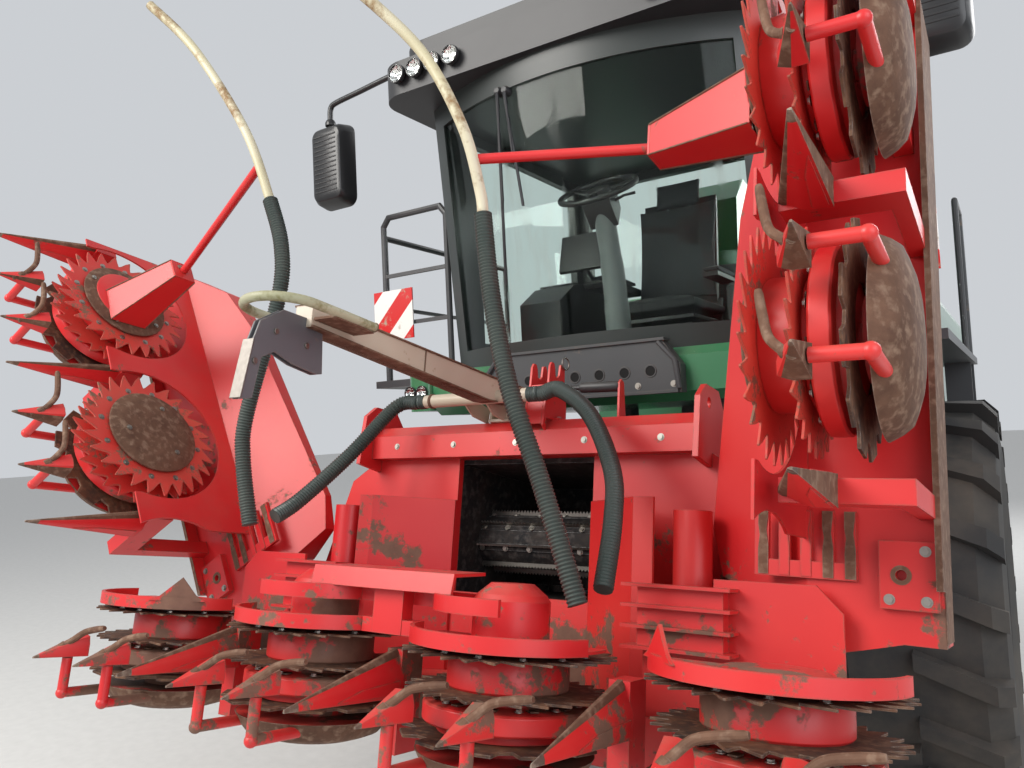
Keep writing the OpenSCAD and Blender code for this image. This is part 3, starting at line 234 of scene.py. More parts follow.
# A coat of paint with rubbed edges, bare patches and dust; low parts may be bare in wide patches
def wornPaint(name, given):
    p = {**paintDefaults, "bareLight": given["bare"], **given}
    mat, tree, shader, coords = newMaterial(name)
    edge = useGroup(tree, edgeGroup, Radius=p["edgeRadius"], Spread=p["edge"], Breakup=p["breakup"])
    scuff = useGroup(tree, scuffGroup, Scale=p["scuffScale"], Low=p["scuffLow"], High=p["scuffHigh"])
    dust = useGroup(tree, dustGroup, Amount=p["dust"], Scale=p["dustScale"], Height=p["dustHeight"])["Mask"]
    color = mixColor(tree, ramp(tree, noise(tree, coords, 1.7, 3), 0.35, 0.7), p["color"], p["faded"])
    bare = mathNode(tree, "MAXIMUM", edge["Mask"], scuff["Mask"])
    if "wearHeight" in p:
        drop = mathNode(tree, "SUBTRACT", p["wearHeight"], axisOf(tree, coords, "Z"))
        low = mathNode(tree, "DIVIDE", drop, 0.5, True)
        patch = raised(tree, noise(tree, coords, 2.6, 9, 0.7), low, p["wear"])
        bare = mathNode(tree, "MAXIMUM", bare, ramp(tree, patch, 0.63, 0.66))
    color = mixColor(tree, bare, color, mixColor(tree, scuff["Fine"], p["bare"], p["bareLight"]))
    gloss = raised(tree, raised(tree, p["roughness"], bare, 0.35), dust, 0.35, True)
    height = mathNode(tree, "SUBTRACT", mathNode(tree, "MULTIPLY", scuff["Fine"], 0.25), bare)
    setInputs(tree, shader, {
        "Base Color": mixColor(tree, dust, color, p["dustColor"]), "Roughness": gloss,
        "Coat Weight": p["coat"], "Coat Roughness": 0.2, "Normal": bumpOf(tree, height, p["bump"], 0.0012)})
    return mat


paints = {
    "redPaint": {
        "color": (0.56, 0.010, 0.014), "faded": (0.63, 0.030, 0.026), "bare": (0.10, 0.045, 0.03),
        "bareLight": (0.22, 0.11, 0.07), "edge": 0.8, "scuffLow": 0.60, "scuffHigh": 0.635,
        "wearHeight": 1.55, "wear": 0.13, "roughness": 0.42, "coat": 0.08},
    "toothRed": {
        "color": (0.58, 0.02, 0.018), "faded": (0.62, 0.07, 0.045), "bare": (0.13, 0.06, 0.035),
        "bareLight": (0.25, 0.14, 0.09), "edge": 1.0, "edgeRadius": 0.014, "breakup": 30.0, "scuffScale": 8.0,
        "scuffLow": 0.54, "scuffHigh": 0.60, "roughness": 0.5, "coat": 0.0},
    "greenPaint": {
        "color": (0.035, 0.17, 0.075), "faded": (0.05, 0.20, 0.09), "bare": (0.09, 0.1, 0.09), "edge": 0.25,
        "scuffLow": 0.66, "scuffHigh": 0.72, "dust": 0.22, "roughness": 0.22, "coat": 0.5, "bump": 0.12},
    "cabPaint": {
        "color": (0.022, 0.028, 0.026), "faded": (0.03, 0.036, 0.034), "bare": (0.1, 0.1, 0.1), "edge": 0.2,
        "scuffLow": 0.68, "scuffHigh": 0.74, "dust": 0.25, "roughness": 0.4, "coat": 0.1, "bump": 0.15},
    "chassisPaint": {
        "color": (0.035, 0.038, 0.042), "faded": (0.05, 0.052, 0.055), "bare": (0.16, 0.12, 0.09),
        "edge": 0.5, "scuffLow": 0.6, "scuffHigh": 0.68, "dust": 0.45, "roughness": 0.5},
    "whitePaint": {
        "color": (0.62, 0.57, 0.42), "faded": (0.46, 0.41, 0.24), "bare": (0.17, 0.08, 0.035),
        "bareLight": (0.30, 0.2, 0.09), "edge": 0.8, "scuffScale": 4.0, "scuffLow": 0.50, "scuffHigh": 0.60,
        "dust": 0.3, "roughness": 0.5},
    "rimPaint": {
        "color": (0.50, 0.02, 0.02), "faded": (0.58, 0.05, 0.04), "bare": (0.12, 0.06, 0.04), "edge": 0.4,
        "dust": 0.7, "dustHeight": 2.6, "roughness": 0.5},
    "boomPaint": {
        "color": (0.56, 0.48, 0.38), "faded": (0.44, 0.36, 0.27), "bare": (0.16, 0.07, 0.03),
        "bareLight": (0.30, 0.17, 0.09), "edge": 0.9, "edgeRadius": 0.006, "scuffScale": 5.0,
        "scuffLow": 0.60, "scuffHigh": 0.68, "dust": 0.25, "roughness": 0.5},
    "mossTube": {
        "color": (0.44, 0.42, 0.30), "faded": (0.25, 0.25, 0.13), "bare": (0.13, 0.12, 0.05),
        "bareLight": (0.24, 0.22, 0.1), "edge": 0.2, "scuffScale": 9.0, "scuffLow": 0.5, "scuffHigh": 0.62,
        "dust": 0.2, "roughness": 0.6},
    "bracketGrey": {
        "color": (0.075, 0.077, 0.085), "faded": (0.11, 0.11, 0.12), "bare": (0.2, 0.14, 0.1), "edge": 0.5,
        "scuffLow": 0.62, "scuffHigh": 0.7, "dust": 0.3, "roughness": 0.45},
}


# Rusty, ground steel of blades and discs
def rustSteel(name, p):
    mat, tree, shader, coords = newMaterial(name)
    scuff = useGroup(tree, scuffGroup, Scale=p["scale"], Low=0.40, High=0.62)
    edge = useGroup(tree, edgeGroup, Radius=0.004, Spread=0.8, Breakup=40.0)["Mask"]
    color = mixColor(tree, scuff["Mask"], p["dark"], p["rust"])
    color = mixColor(tree, ramp(tree, noise(tree, coords, 34, 3), 0.5, 0.72), color, p["pale"])
    setInputs(tree, shader, {
        "Base Color": mixColor(tree, edge, color, p["worn"]), "Metallic": p["metallic"],
        "Roughness": mathNode(tree, "SUBTRACT", 0.78, mathNode(tree, "MULTIPLY", edge, 0.4)),
        "Normal": bumpOf(tree, scuff["Fine"], 0.5, 0.0015)})
    return mat


steels = {
    "bladeSteel": {
        "dark": (0.05, 0.032, 0.025), "rust": (0.16, 0.07, 0.035), "pale": (0.22, 0.12, 0.07),
        "worn": (0.34, 0.3, 0.27), "metallic": 0.45, "scale": 7.0},
    "darkSteel": {
        "dark": (0.02, 0.02, 0.022), "rust": (0.05, 0.04, 0.035), "pale": (0.09, 0.08, 0.075),
        "worn": (0.3, 0.3, 0.3), "metallic": 0.7, "scale": 7.0},
    "tipSteel": {
        "dark": (0.10, 0.065, 0.05), "rust": (0.20, 0.12, 0.08), "pale": (0.32, 0.25, 0.19),
        "worn": (0.42, 0.36, 0.30), "metallic": 0.3, "scale": 7.0},
    "rustPlate": {
        "dark": (0.09, 0.04, 0.022), "rust": (0.17, 0.085, 0.05), "pale": (0.24, 0.15, 0.1),
        "worn": (0.3, 0.22, 0.17), "metallic": 0.2, "scale": 3.5},
}
plasticDefaults = {
    "dust": 0.3, "dustScale": 5.0, "dustHeight": 1.2, "dustColor": (0.24, 0.2, 0.15), "grain": 420.0,
    "roughness": 0.5, "bump": 0.2,
}


# Moulded plastic and rubber with a fine grain
def mouldedPlastic(name, given):
    p = {**plasticDefaults, **given}
    mat, tree, shader, coords = newMaterial(name)
    dust = useGroup(tree, dustGroup, Amount=p["dust"], Scale=p["dustScale"], Height=p["dustHeight"])["Mask"]
    color = mixColor(tree, ramp(tree, noise(tree, coords, 2.3, 3), 0.3, 0.7), p["color"], p["faded"])
    setInputs(tree, shader, {
        "Base Color": mixColor(tree, dust, color, p["dustColor"]),
        "Roughness": raised(tree, p["roughness"], dust, 0.4, True),
        "Normal": bumpOf(tree, noise(tree, coords, p["grain"], 2), p["bump"], 0.0006)})
    return mat


plastics = {
    "blackPlastic": {"color": (0.018, 0.018, 0.02), "faded": (0.03, 0.03, 0.032), "roughness": 0.45},
    "mirrorPlastic": {
        "color": (0.012, 0.012, 0.013), "faded": (0.02, 0.02, 0.021), "roughness": 0.3, "dust": 0.15},
    "seatPlastic": {
        "color": (0.055, 0.06, 0.06), "faded": (0.08, 0.085, 0.085), "roughness": 0.65, "grain": 260.0,
        "bump": 0.5},
    "tyreRubber": {
        "color": (0.016, 0.016, 0.017), "faded": (0.032, 0.031, 0.03), "roughness": 0.75, "dust": 0.85,
        "dustHeight": 2.2, "dustScale": 3.0, "dustColor": (0.12, 0.1, 0.08), "grain": 160.0, "bump": 0.45},
    "seatCloth": {
        "color": (0.035, 0.038, 0.042), "faded": (0.06, 0.064, 0.066), "roughness": 0.85, "grain": 520.0,
        "bump": 0.7, "dust": 0.2},
    # Near-black finish for painted shade: the dark inside of holes drawn on a solid plate
    "paintedHoleShade": {
        "color": (0.004, 0.004, 0.004), "faded": (0.006, 0.006, 0.006), "roughness": 0.9, "dust": 0.0,
        "bump": 0.0},
    "keyPlastic": {"color": (0.20, 0.21, 0.21), "faded": (0.28, 0.28, 0.27)},
    "screenGlass": {
        "color": (0.008, 0.010, 0.014), "faded": (0.012, 0.014, 0.018), "roughness": 0.12, "dust": 0.1,
        "bump": 0.02},
    "columnGrey": {"color": (0.13, 0.15, 0.15), "faded": (0.19, 0.21, 0.21), "dust": 0.2},
    "wheelPlastic": {
        "color": (0.02, 0.02, 0.021), "faded": (0.035, 0.035, 0.036), "roughness": 0.4, "dust": 0.1},
    "beaconAmber": {
        "color": (0.75, 0.26, 0.02), "faded": (0.62, 0.20, 0.02), "roughness": 0.25, "bump": 0.05,
        "dust": 0.15},
    "sleevePlastic": {
        "color": (0.03, 0.045, 0.04), "faded": (0.06, 0.075, 0.068), "roughness": 0.42, "dust": 0.25},
}


# Clear glass with tall streaks of dirt
def streakedGlass(name, p):
    mat, tree, shader, coords = newMaterial(name)
    tall = addNode(tree, "ShaderNodeMapping", {"Vector": coords, "Scale": (9.0, 9.0, 1.1)})
    smear = ramp(tree, noise(tree, tall.outputs[0], 1.6, 7, 0.7), 0.52, 0.78)
    setInputs(tree, shader, {
        "Base Color": mixColor(tree, mathNode(tree, "MULTIPLY", smear, p["streak"]), p["tint"],
                               (0.75, 0.74, 0.68)),
        "Roughness": mathNode(tree, "MULTIPLY", smear, p["streak"] * 0.6), "Transmission Weight": 1.0,
        "IOR": 1.2})
    return mat


glasses = {
    "cabGlass": {"tint": (0.86, 0.94, 0.90), "streak": 0.6},
    "lensGlass": {"tint": (0.9, 0.92, 0.92), "streak": 0.2},
}


# Red and white slanted bands of the warning boards, the same on both sides of the machine
def slantedBands(name, p):
    mat, tree, shader, coords = newMaterial(name)
    side = mathNode(tree, "ABSOLUTE",
                    mathNode(tree, "SUBTRACT", axisOf(tree, coords, "X"), layout["machineX"]))
    slant = mathNode(tree, "ADD", side, axisOf(tree, coords, "Z"))
    wave = mathNode(tree, "FRACT",
                    mathNode(tree, "DIVIDE", mathNode(tree, "ADD", slant, p["shift"]), p["period"]))
    scuff = useGroup(tree, scuffGroup, Scale=9.0, Low=0.58, High=0.66)["Mask"]
    color = mixColor(tree, mathNode(tree, "GREATER_THAN", wave, 0.5), p["white"], p["red"])
    setInputs(tree, shader, {
        "Base Color": mixColor(tree, scuff, color, p["dirt"]), "Roughness": raised(tree, 0.3, scuff, 0.4)})
    return mat


boards = {
    "warningBands": {
        "shift": 0.035, "period": 0.282, "white": (0.75, 0.74, 0.70), "red": (0.55, 0.015, 0.015),
        "dirt": (0.35, 0.28, 0.2)},
}


def polishedMetal(name, p):
    mat, tree, shader, coords = newMaterial(name)
    fine = noise(tree, coords, 90.0, 4)
    setInputs(tree, shader, {
        "Base Color": mixColor(tree, fine, p["color"], tuple(c * 0.75 for c in p["color"])), "Metallic": 1.0,
        "Roughness": raised(tree, p["roughness"], fine, 0.12)})
    return mat


metals = {
    "chromeRod": {"color": (0.7, 0.7, 0.7), "roughness": 0.1},
    "exhaustSteel": {"color": (0.35, 0.32, 0.29), "roughness": 0.35},
    "boltZinc": {"color": (0.42, 0.40, 0.36), "roughness": 0.35},
    "rimSteel": {"color": (0.24, 0.22, 0.20), "roughness": 0.42},
    "reflector": {"color": (0.82, 0.82, 0.80), "roughness": 0.06},
}
made = {}
for build, recipes in ((wornPaint, paints), (rustSteel, steels), (mouldedPlastic, plastics),
                       (streakedGlass, glasses), (slantedBands, boards), (polishedMetal, metals)):
    for name, recipe in recipes.items():
        made[name] = build(name, recipe)
print("materials", len(made))

finishOf = {
    "red_paint": "redPaint", "green_paint": "greenPaint", "cab_paint": "cabPaint",
    "chassis_paint": "chassisPaint", "white_paint": "whitePaint", "tinted_glass": "cabGlass",
    "roof_plastic": "blackPlastic", "seat_plastic": "seatPlastic", "mirror_plastic": "mirrorPlastic",
    "lamp_lens": "lensGlass", "board_sheet": "warningBands", "tyre_rubber": "tyreRubber",
    "rim_paint": "rimPaint", "worn_steel": "darkSteel", "exhaust_steel": "exhaustSteel",
    "sleeve_rubber": "sleevePlastic", "tank_plastic": "blackPlastic", "chrome_rod": "chromeRod",
}
for part in frame["record"]["subparts"]:
    for holder in nodes[part["node"]].material_slots:
        holder.material = made[finishOf[part["material_slot"]]]
print("finishes on the nodes")


# Gives a finished mesh its place in the tree and its soft edges
def placePiece(name, mesh, body, replaced=(), bevel=0.0, smooth=40.0):
    piece = linked(name, mesh)
    mesh.shade_smooth()
    mesh.set_sharp_from_angle(angle=math.radians(smooth))
    if bevel:
        soft = piece.modifiers.new("softEdges", "BEVEL")
        soft.width, soft.segments, soft.limit_method, soft.angle_limit = bevel, 2, "ANGLE", math.radians(35)
        soft.harden_normals = False
    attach(piece, body)
    if replaced:
        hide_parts(*replaced)
    return piece


def finishPiece(name, bm, materials, place, body, replaced=(), bevel=0.0, smooth=40.0):
    bmesh.ops.transform(bm, matrix=place, verts=bm.verts)
    if place.determinant() < 0:
        bmesh.ops.reverse_faces(bm, faces=bm.faces)
    mesh = bpy.data.meshes.new(name)
    bm.to_mesh(mesh)
    bm.free()
    for material in materials:
        mesh.materials.append(made[material])
    return placePiece(name, mesh, body, replaced, bevel, smooth)


# Joins rings of points into a closed form that faces outward; mat may depend on the ring and the side
def loft(bm, rings, mat=0, ends=None, closed=False):
    rows = [[bm.verts.new(p) for p in ring] for ring in rings]
    faces = []
    for k, (a, b) in enumerate(zip(rows, rows[1:] + (rows[:1] if closed else []))):
        for i in range(len(a)):
            j = (i + 1) % len(a)
            faces.append(bm.faces.new((a[i], a[j], b[j], b[i])))
            faces[-1].material_index = mat(k, i) if callable(mat) else mat
    if not closed:
        for row, endMat in zip((rows[0][::-1], rows[-1]), ends or (mat, mat)):
            faces.append(bm.faces.new(row))
            faces[-1].material_index = endMat
    volume = 0.0
    for face in faces:
        v = [q.co for q in face.verts]
        volume += sum(v[0].dot(v[i].cross(v[i + 1])) for i in range(1, len(v) - 1))
    if volume < 0:
        bmesh.ops.reverse_faces(bm, faces=faces)


# Draws an outline in Y and Z out along X
def sideInto(bm, outline, x0, x1, mat=0):
    loft(bm, [[(x, y, z) for y, z in outline] for x in (x0, x1)], mat)


# A flat plate between two heights with an outline and a round hole
def ringPlate(bm, outline, low, high, hole, mat):
    inner = [polar(hole, math.atan2(y, x)) for x, y in outline]
    sides = ((outline, low), (outline, high), (inner, high), (inner, low))
    loft(bm, [[(x, y, z) for x, y in line] for line, z in sides], mat, closed=True)


# Sweeps a round section, of one radius or a radius for each point, along a path
def tubeInto(bm, path, radius, mat=0, sides=10):
    p = [Vector(q) for q in path]
    radii = radius if isinstance(radius, (list, tuple)) else [radius] * len(p)
    side, rings = None, []
    for i, q in enumerate(p):
        ahead = (p[min(i + 1, len(p) - 1)] - p[max(i - 1, 0)]).normalized()
        side = ahead.orthogonal() if side is None else side
        side = (side - ahead * side.dot(ahead)).normalized()
        other = ahead.cross(side)
        rings.append([q + radii[i] * (math.cos(a) * side + math.sin(a) * other) for a in circle(sides)])
    loft(bm, rings, mat)


# Turns a profile of (radius, height) round an axis that starts at a place
def lathe(bm, place, axis, profile, mat=0, steps=28, closed=False):
    turn = Matrix.Translation(place) @ Vector(up).rotation_difference(Vector(axis)).to_matrix().to_4x4()
    rings = [[bm.verts.new(turn @ Vector((*polar(r, a), z))) for a in circle(steps if r > 1e-6 else 1)]
             for r, z in profile]
    for low, high in zip(rings, rings[1:] + (rings[:1] if closed else [])):
        for k in range(steps):
            n = (k + 1) % steps
            corners = (low[k % len(low)], low[n % len(low)], high[n % len(high)], high[k % len(high)])
            corners = list(dict.fromkeys(corners))
            if len(corners) > 2:
                bm.faces.new(corners).material_index = mat


def disc(bm, place, axis, radius, height, mat=0, steps=28):
    lathe(bm, place, axis, ((0, 0), (radius, 0), (radius, height), (0, height)), mat, steps)


def washer(bm, place, axis, inner, outer, height, mat=0, steps=28):
    lathe(bm, place, axis, ((inner, 0), (outer, 0), (outer, height), (inner, height)), mat, steps, True)


def addBlock(bm, low, high, mat=0, turn=Matrix()):
    (x0, y0, z0), (x1, y1, z1) = low, high
    corners = ((x0, y0), (x1, y0), (x1, y1), (x0, y1))
    loft(bm, [[turn @ Vector((x, y, z)) for x, y in corners] for z in (z0, z1)], mat)


# A smooth curve through the points
def smoothPath(points, steps=4):
    p = [Vector(q) for q in points]
    path = []
    for i in range(len(p) - 1):
        a, b, c, d = p[max(i - 1, 0)], p[i], p[i + 1], p[min(i + 2, len(p) - 1)]
        for t in (k / steps for k in range(steps)):
            bend = t * t * (2 * a - 5 * b + 4 * c - d) + t * t * t * (3 * b - a - 3 * c + d)
            path.append(0.5 * (2 * b + t * (c - a) + bend))
    return path + [p[-1]]


def pathObject(name, paths, place):
    data = bpy.data.curves.new(name + "Path", "CURVE")
    data.dimensions = "3D"
    for path in paths:
        spline = data.splines.new("POLY")
        spline.points.add(len(path) - 1)
        for point, q in zip(spline.points, path):
            point.co = (*(place @ q), 1)
    return linked(name + "Path", data)


# The plain mesh that an object gives in the end; the object itself goes
def plainMesh(holder, name):
    bpy.context.view_layer.update()
    mesh = bpy.data.meshes.new_from_object(holder.evaluated_get(bpy.context.evaluated_depsgraph_get()))
    bpy.data.objects.remove(holder)
    mesh.name = name
    return mesh


# A round tube along a path, made from a curve with a round bevel
def tubePiece(name, path, radius, material, place, body, replaced=()):
    holder = pathObject(name, (path,), place)
    holder.data.bevel_depth, holder.data.bevel_resolution, holder.data.use_fill_caps = radius, 2, True
    mesh = plainMesh(holder, name)
    mesh.materials.clear()
    mesh.materials.append(made[material])
    placePiece(name, mesh, body, replaced, smooth=60)


# Geometry Nodes: bolts on listed places, and ribs along a sleeve
def newTree(name, inputs):
    tree = bpy.data.node_groups.new(name, "GeometryNodeTree")
    sockets = tree.interface
    sockets.new_socket("Geometry", in_out="INPUT", socket_type="NodeSocketGeometry")
    ids = {}
    for label, kind in inputs.items():
        ids[label] = sockets.new_socket(label, in_out="INPUT", socket_type="NodeSocket" + kind).identifier
    sockets.new_socket("Geometry", in_out="OUTPUT", socket_type="NodeSocketGeometry")
    return tree, tree.nodes.new("NodeGroupInput").outputs, ids


# Makes the last node's instances real, paints them and gives them out
def endTree(tree, last, material):
    real = addNode(tree, "GeometryNodeRealizeInstances", {0: last.outputs[0]})
    paint = addNode(tree, "GeometryNodeSetMaterial", {"Geometry": real.outputs[0], "Material": material})
    addNode(tree, "NodeGroupOutput", {0: paint.outputs[0]})


def buildBoltTree():
    tree, given, ids = newTree("boltHeads", {"Radius": "Float", "Height": "Float", "Metal": "Material"})
    radius, height = given["Radius"], given["Height"]
    head = addNode(tree, "GeometryNodeMeshCylinder", {"Vertices": 6, "Radius": radius, "Depth": height})
    flat = addNode(tree, "GeometryNodeMeshCylinder", {
        "Vertices": 16, "Radius": mathNode(tree, "MULTIPLY", radius, 1.45),
        "Depth": mathNode(tree, "MULTIPLY", height, 0.36)})
    shift = addNode(tree, "ShaderNodeCombineXYZ", {"Z": mathNode(tree, "MULTIPLY", height, 0.5)})
    raisedHead = addNode(tree, "GeometryNodeTransform", {
        "Geometry": head.outputs["Mesh"], "Translation": shift.outputs[0]})
    join = addNode(tree, "GeometryNodeJoinGeometry")
    for piece in (flat, raisedHead):
        tree.links.new(piece.outputs[0], join.inputs[0])
    facing = addNode(tree, "GeometryNodeInputNamedAttribute", {"Name": "facing"}, data_type="FLOAT_VECTOR")
    align = addNode(tree, "FunctionNodeAlignRotationToVector", {"Vector": facing.outputs[0]}, axis="Z")
    heads = addNode(tree, "GeometryNodeInstanceOnPoints", {
        "Points": given["Geometry"], "Instance": join.outputs[0], "Rotation": align.outputs[0]})
    endTree(tree, heads, given["Metal"])
    return tree, ids


def buildSleeveTree():
    tree, given, ids = newTree(
        "ribbedSleeve", {"Radius": "Float", "Rib": "Float", "Pitch": "Float", "Plastic": "Material"})
    even = addNode(tree, "GeometryNodeResampleCurve", {
        "Curve": given["Geometry"], "Length": mathNode(tree, "DIVIDE", given["Pitch"], 4.0)}, mode="LENGTH")
    index = addNode(tree, "GeometryNodeInputIndex").outputs[0]
    wave = mathNode(tree, "SINE", mathNode(tree, "MULTIPLY", index, math.pi / 2))
    sized = addNode(tree, "GeometryNodeSetCurveRadius", {
        "Curve": even.outputs[0], "Radius": raised(tree, given["Radius"], wave, given["Rib"])})
    ring = addNode(tree, "GeometryNodeCurvePrimitiveCircle", {"Resolution": 14, "Radius": 1.0})
    girth = addNode(tree, "GeometryNodeInputRadius").outputs[0]
    skin = addNode(tree, "GeometryNodeCurveToMesh", {
        "Curve": sized.outputs[0], "Profile Curve": ring.outputs[0], "Scale": girth, "Fill Caps": True})
    endTree(tree, skin, given["Plastic"])
    return tree, ids


boltTree, sleeveTree = buildBoltTree(), buildSleeveTree()


# Runs a tree on an object and gives the plain mesh it makes
def bakeTree(name, holder, treeAndIds, values):
    tree, ids = treeAndIds
    mod = holder.modifiers.new("made", "NODES")
    mod.node_group = tree
    for label, value in values.items():
        mod[ids[label]] = value
    return plainMesh(holder, name)


# Bolt heads at (place, facing) pairs that are given in a frame
def boltPiece(name, spots, place, body, radius=0.012, height=0.008):
    mesh = bpy.data.meshes.new(name + "Spots")
    mesh.from_pydata([place @ Vector(p) for p, _ in spots], [], [])
    facing = mesh.attributes.new("facing", "FLOAT_VECTOR", "POINT")
    for i, (_, n) in enumerate(spots):
        facing.data[i].vector = (place.to_3x3() @ Vector(n)).normalized()
    values = {"Radius": radius, "Height": height, "Metal": made["boltZinc"]}
    heads = bakeTree(name, linked(name + "Spots", mesh), boltTree, values)
    placePiece(name, heads, body, smooth=30)


# Toothed discs, drums and knives of a rotor
rotor = {
    "discRadius": 0.310, "toothRoot": 0.250, "teeth": 26, "discHole": 0.14, "drum": 0.175, "lowerDrum": 0.238,
    "bore": 0.042, "knives": 12, "covers": 12, "bolts": 12, "steps": 72,
}


# Long raked points, each with a straight leading edge and a hollow back
def sawOutline(radius, root, count):
    step, deep = math.tau / count, radius - root
    tooth = ((0.0, root), (0.16, root + 0.12 * deep), (0.52, root + 0.62 * deep), (0.80, radius),
             (0.86, radius - 0.002), (0.90, root + 0.35 * deep), (0.96, root))
    return [polar(r, (k + t) * step) for k in range(count) for t, r in tooth]


def rotorPiece(number, place, turn, discMat):
    r = rotor
    body, drum, low, bore = "rotor_%d" % number, r["drum"], r["lowerDrum"], r["bore"]
    bm = bmesh.new()
    upper = sawOutline(r["discRadius"], r["toothRoot"], r["teeth"])
    ringPlate(bm, upper, -0.006, 0.0, r["discHole"], discMat)
    lower = sawOutline(r["discRadius"] - 0.016, r["toothRoot"] - 0.004, r["teeth"])
    ringPlate(bm, lower, -0.107, -0.100, r["discHole"], discMat)
    lathe(bm, (0, 0, 0), up, ((bore, -0.006), (drum - 0.004, -0.006), (drum, -0.012), (drum, -0.094),
                              (drum - 0.006, -0.1)), 0, r["steps"])
    lathe(bm, (0, 0, 0), up, ((drum - 0.01, -0.106), (drum, -0.112), (drum, -0.126), (drum + 0.012, -0.130),
                              (low - 0.006, -0.136), (low, -0.142), (low, -0.184), (low - 0.006, -0.190),
                              (drum + 0.02, -0.192), (drum + 0.02, -0.2145), (bore, -0.2145), (bore, -0.006)),
          0, r["steps"])
    for a in circle(r["covers"], math.pi / r["covers"]):  # dark plates of the lower drum's cover
        spoke = Matrix.Rotation(a, 4, "Z")
        addBlock(bm, (drum + 0.008, -0.012, -0.131), (drum + 0.04, 0.012, -0.1265), 1, spoke)
    blade = ((0.0, 0.252), (0.10, 0.296), (0.62, 0.300), (0.72, 0.262), (0.98, 0.250))
    knives = [polar(reach, (k + t) * math.tau / r["knives"]) for k in range(r["knives"])
              for t, reach in blade]
    ringPlate(bm, knives, -0.2245, -0.216, r["discHole"], 1)
    finishPiece("rotorBody%d" % number, bm, ("redPaint", "bladeSteel", "toothRed"),
                place @ Matrix.Rotation(turn, 4, "Z"), body, (body,), 0.0012)
    spots = [((*polar(reach, a), z), up) for a in circle(r["bolts"], 0.2)
             for reach, z in ((0.208, -0.1285), (0.225, 0))]
    boltPiece("rotorBolts%d" % number, spots, place, body, 0.009, 0.006)


def rotorPlaces():
    places = {i: headerFrame @ at((i - 4.5) * rowPitch, 0, 0) for i in range(3, 7)}
    for number, side, k in ((7, 1, 0), (8, 1, 1), (2, -1, 0), (1, -1, 1)):
        places[number] = wingFrame(side) @ at(firstRotor + k * rowPitch, 0, -hingeRise)
    return places


random.seed(7)
for number, place in sorted(rotorPlaces().items()):
    rotorPiece(number, place, random.uniform(0, 0.24), 1 if 3 <= number <= 6 else 2)
print("rotors made")

# Sleeves and poles, on the same routes as the solids
sleeve = {"radius": 0.028, "rib": 0.0022, "ribPitch": 0.011, "pole": 0.0195, "brace": 0.0175}
sleeveRoutes = {
    "boom": (
        ((-0.375, 0.450, 0.862), (-0.400, 0.450, 0.862), (-0.425, 0.450, 0.862), (-0.523, 0.430, 0.841),
         (-0.625, 0.300, 0.629), (-0.687, 0.120, 0.433), (-0.700, 0.019, 0.362)),
        ((0.115, 0.450, 0.862), (0.145, 0.450, 0.862), (0.175, 0.450, 0.862), (0.259, 0.430, 0.866),
         (0.421, 0.360, 0.752), (0.558, 0.260, 0.550), (0.609, 0.170, 0.388), (0.642, 0.050, 0.187))),
    "left": (
        ((0.100, -0.040, 0.470), (0.435, -0.060, 0.602), (0.701, -0.080, 0.715), (0.989, -0.090, 0.799),
         (1.280, -0.100, 0.854)),),
    "right": (
        ((0.077, -0.050, 0.433), (0.311, -0.070, 0.504), (0.464, -0.080, 0.596), (0.777, -0.090, 0.912),
         (0.966, -0.100, 1.017), (1.180, -0.120, 1.055)),),
}
poleRoutes = {
    "left": ((1.280, -0.100, 0.854), (1.358, -0.120, 0.859), (1.555, -0.200, 0.893), (1.821, -0.280, 1.033),
             (2.025, -0.430, 1.222)),
    "right": ((1.180, -0.120, 1.055), (1.486, -0.200, 1.113), (1.962, -0.300, 1.082), (2.234, -0.420, 1.027)),
}
braceTops = {"left": Vector((1.455, -0.150, 0.876)), "right": Vector((1.330, -0.152, 1.092))}
boxEnd = Vector((1.470, 0.050, 0.337))


def sleevePiece(name, routes, place, body, replaced=()):
    holder = pathObject(name, [smoothPath(route, 8) for route in routes], place)
    values = {"Radius": sleeve["radius"], "Rib": sleeve["rib"], "Pitch": sleeve["ribPitch"],
              "Plastic": made["sleevePlastic"]}
    placePiece(name, bakeTree(name, holder, sleeveTree, values), body, replaced, smooth=60)


sleevePiece("boomSleeves", sleeveRoutes["boom"], headerFrame, "header", ("boom_sleeves",))
for side, name in wings:
    place, body = wingFrame(side), "wing_" + name
    sleevePiece("poleSleeve_" + name, sleeveRoutes[name], place, body)
    tubePiece("guidePole_" + name, smoothPath(poleRoutes[name], 8), sleeve["pole"], "whitePaint", place, body,
              ("guide_pole_" + name,))
    tubePiece("poleBrace_" + name, (boxEnd, boxEnd + Vector((0, 0, 0.018)), braceTops[name]), sleeve["brace"],
              "redPaint", place, body)
print("sleeves and poles made")

# Dividers: red folded flanks under a rusty rounded ridge, and small ones with bent fingers
divider = {
    "tip": -0.488, "base": -0.170, "skin": 0.004, "blunt": 0.07, "bigWidth": 0.04032, "bigHeight": 0.140,
    "bigBack": -0.060, "smallWidth": 0.040, "smallHeight": 0.076, "smallBack": -0.314, "sections": 12,
    "capRadius": 0.200, "capZ": 0.013,
}
bigSection = ((-1, 0), (-1, 0.42), (-0.74, 0.62), (-0.42, 0.83), (-0.36, 0.92), (-0.18, 0.985), (0.18, 0.985),
              (0.36, 0.92), (0.42, 0.83), (0.74, 0.62), (1, 0.42), (1, 0))
smallSection = ((-1, 0), (-1, 0.55), (-0.80, 0.86), (-0.70, 0.98), (0.10, 1.0), (0.82, 0.90), (1, 0.55),
                (1, 0))
dividerFinish = ("redPaint", "rustPlate", "tipSteel")


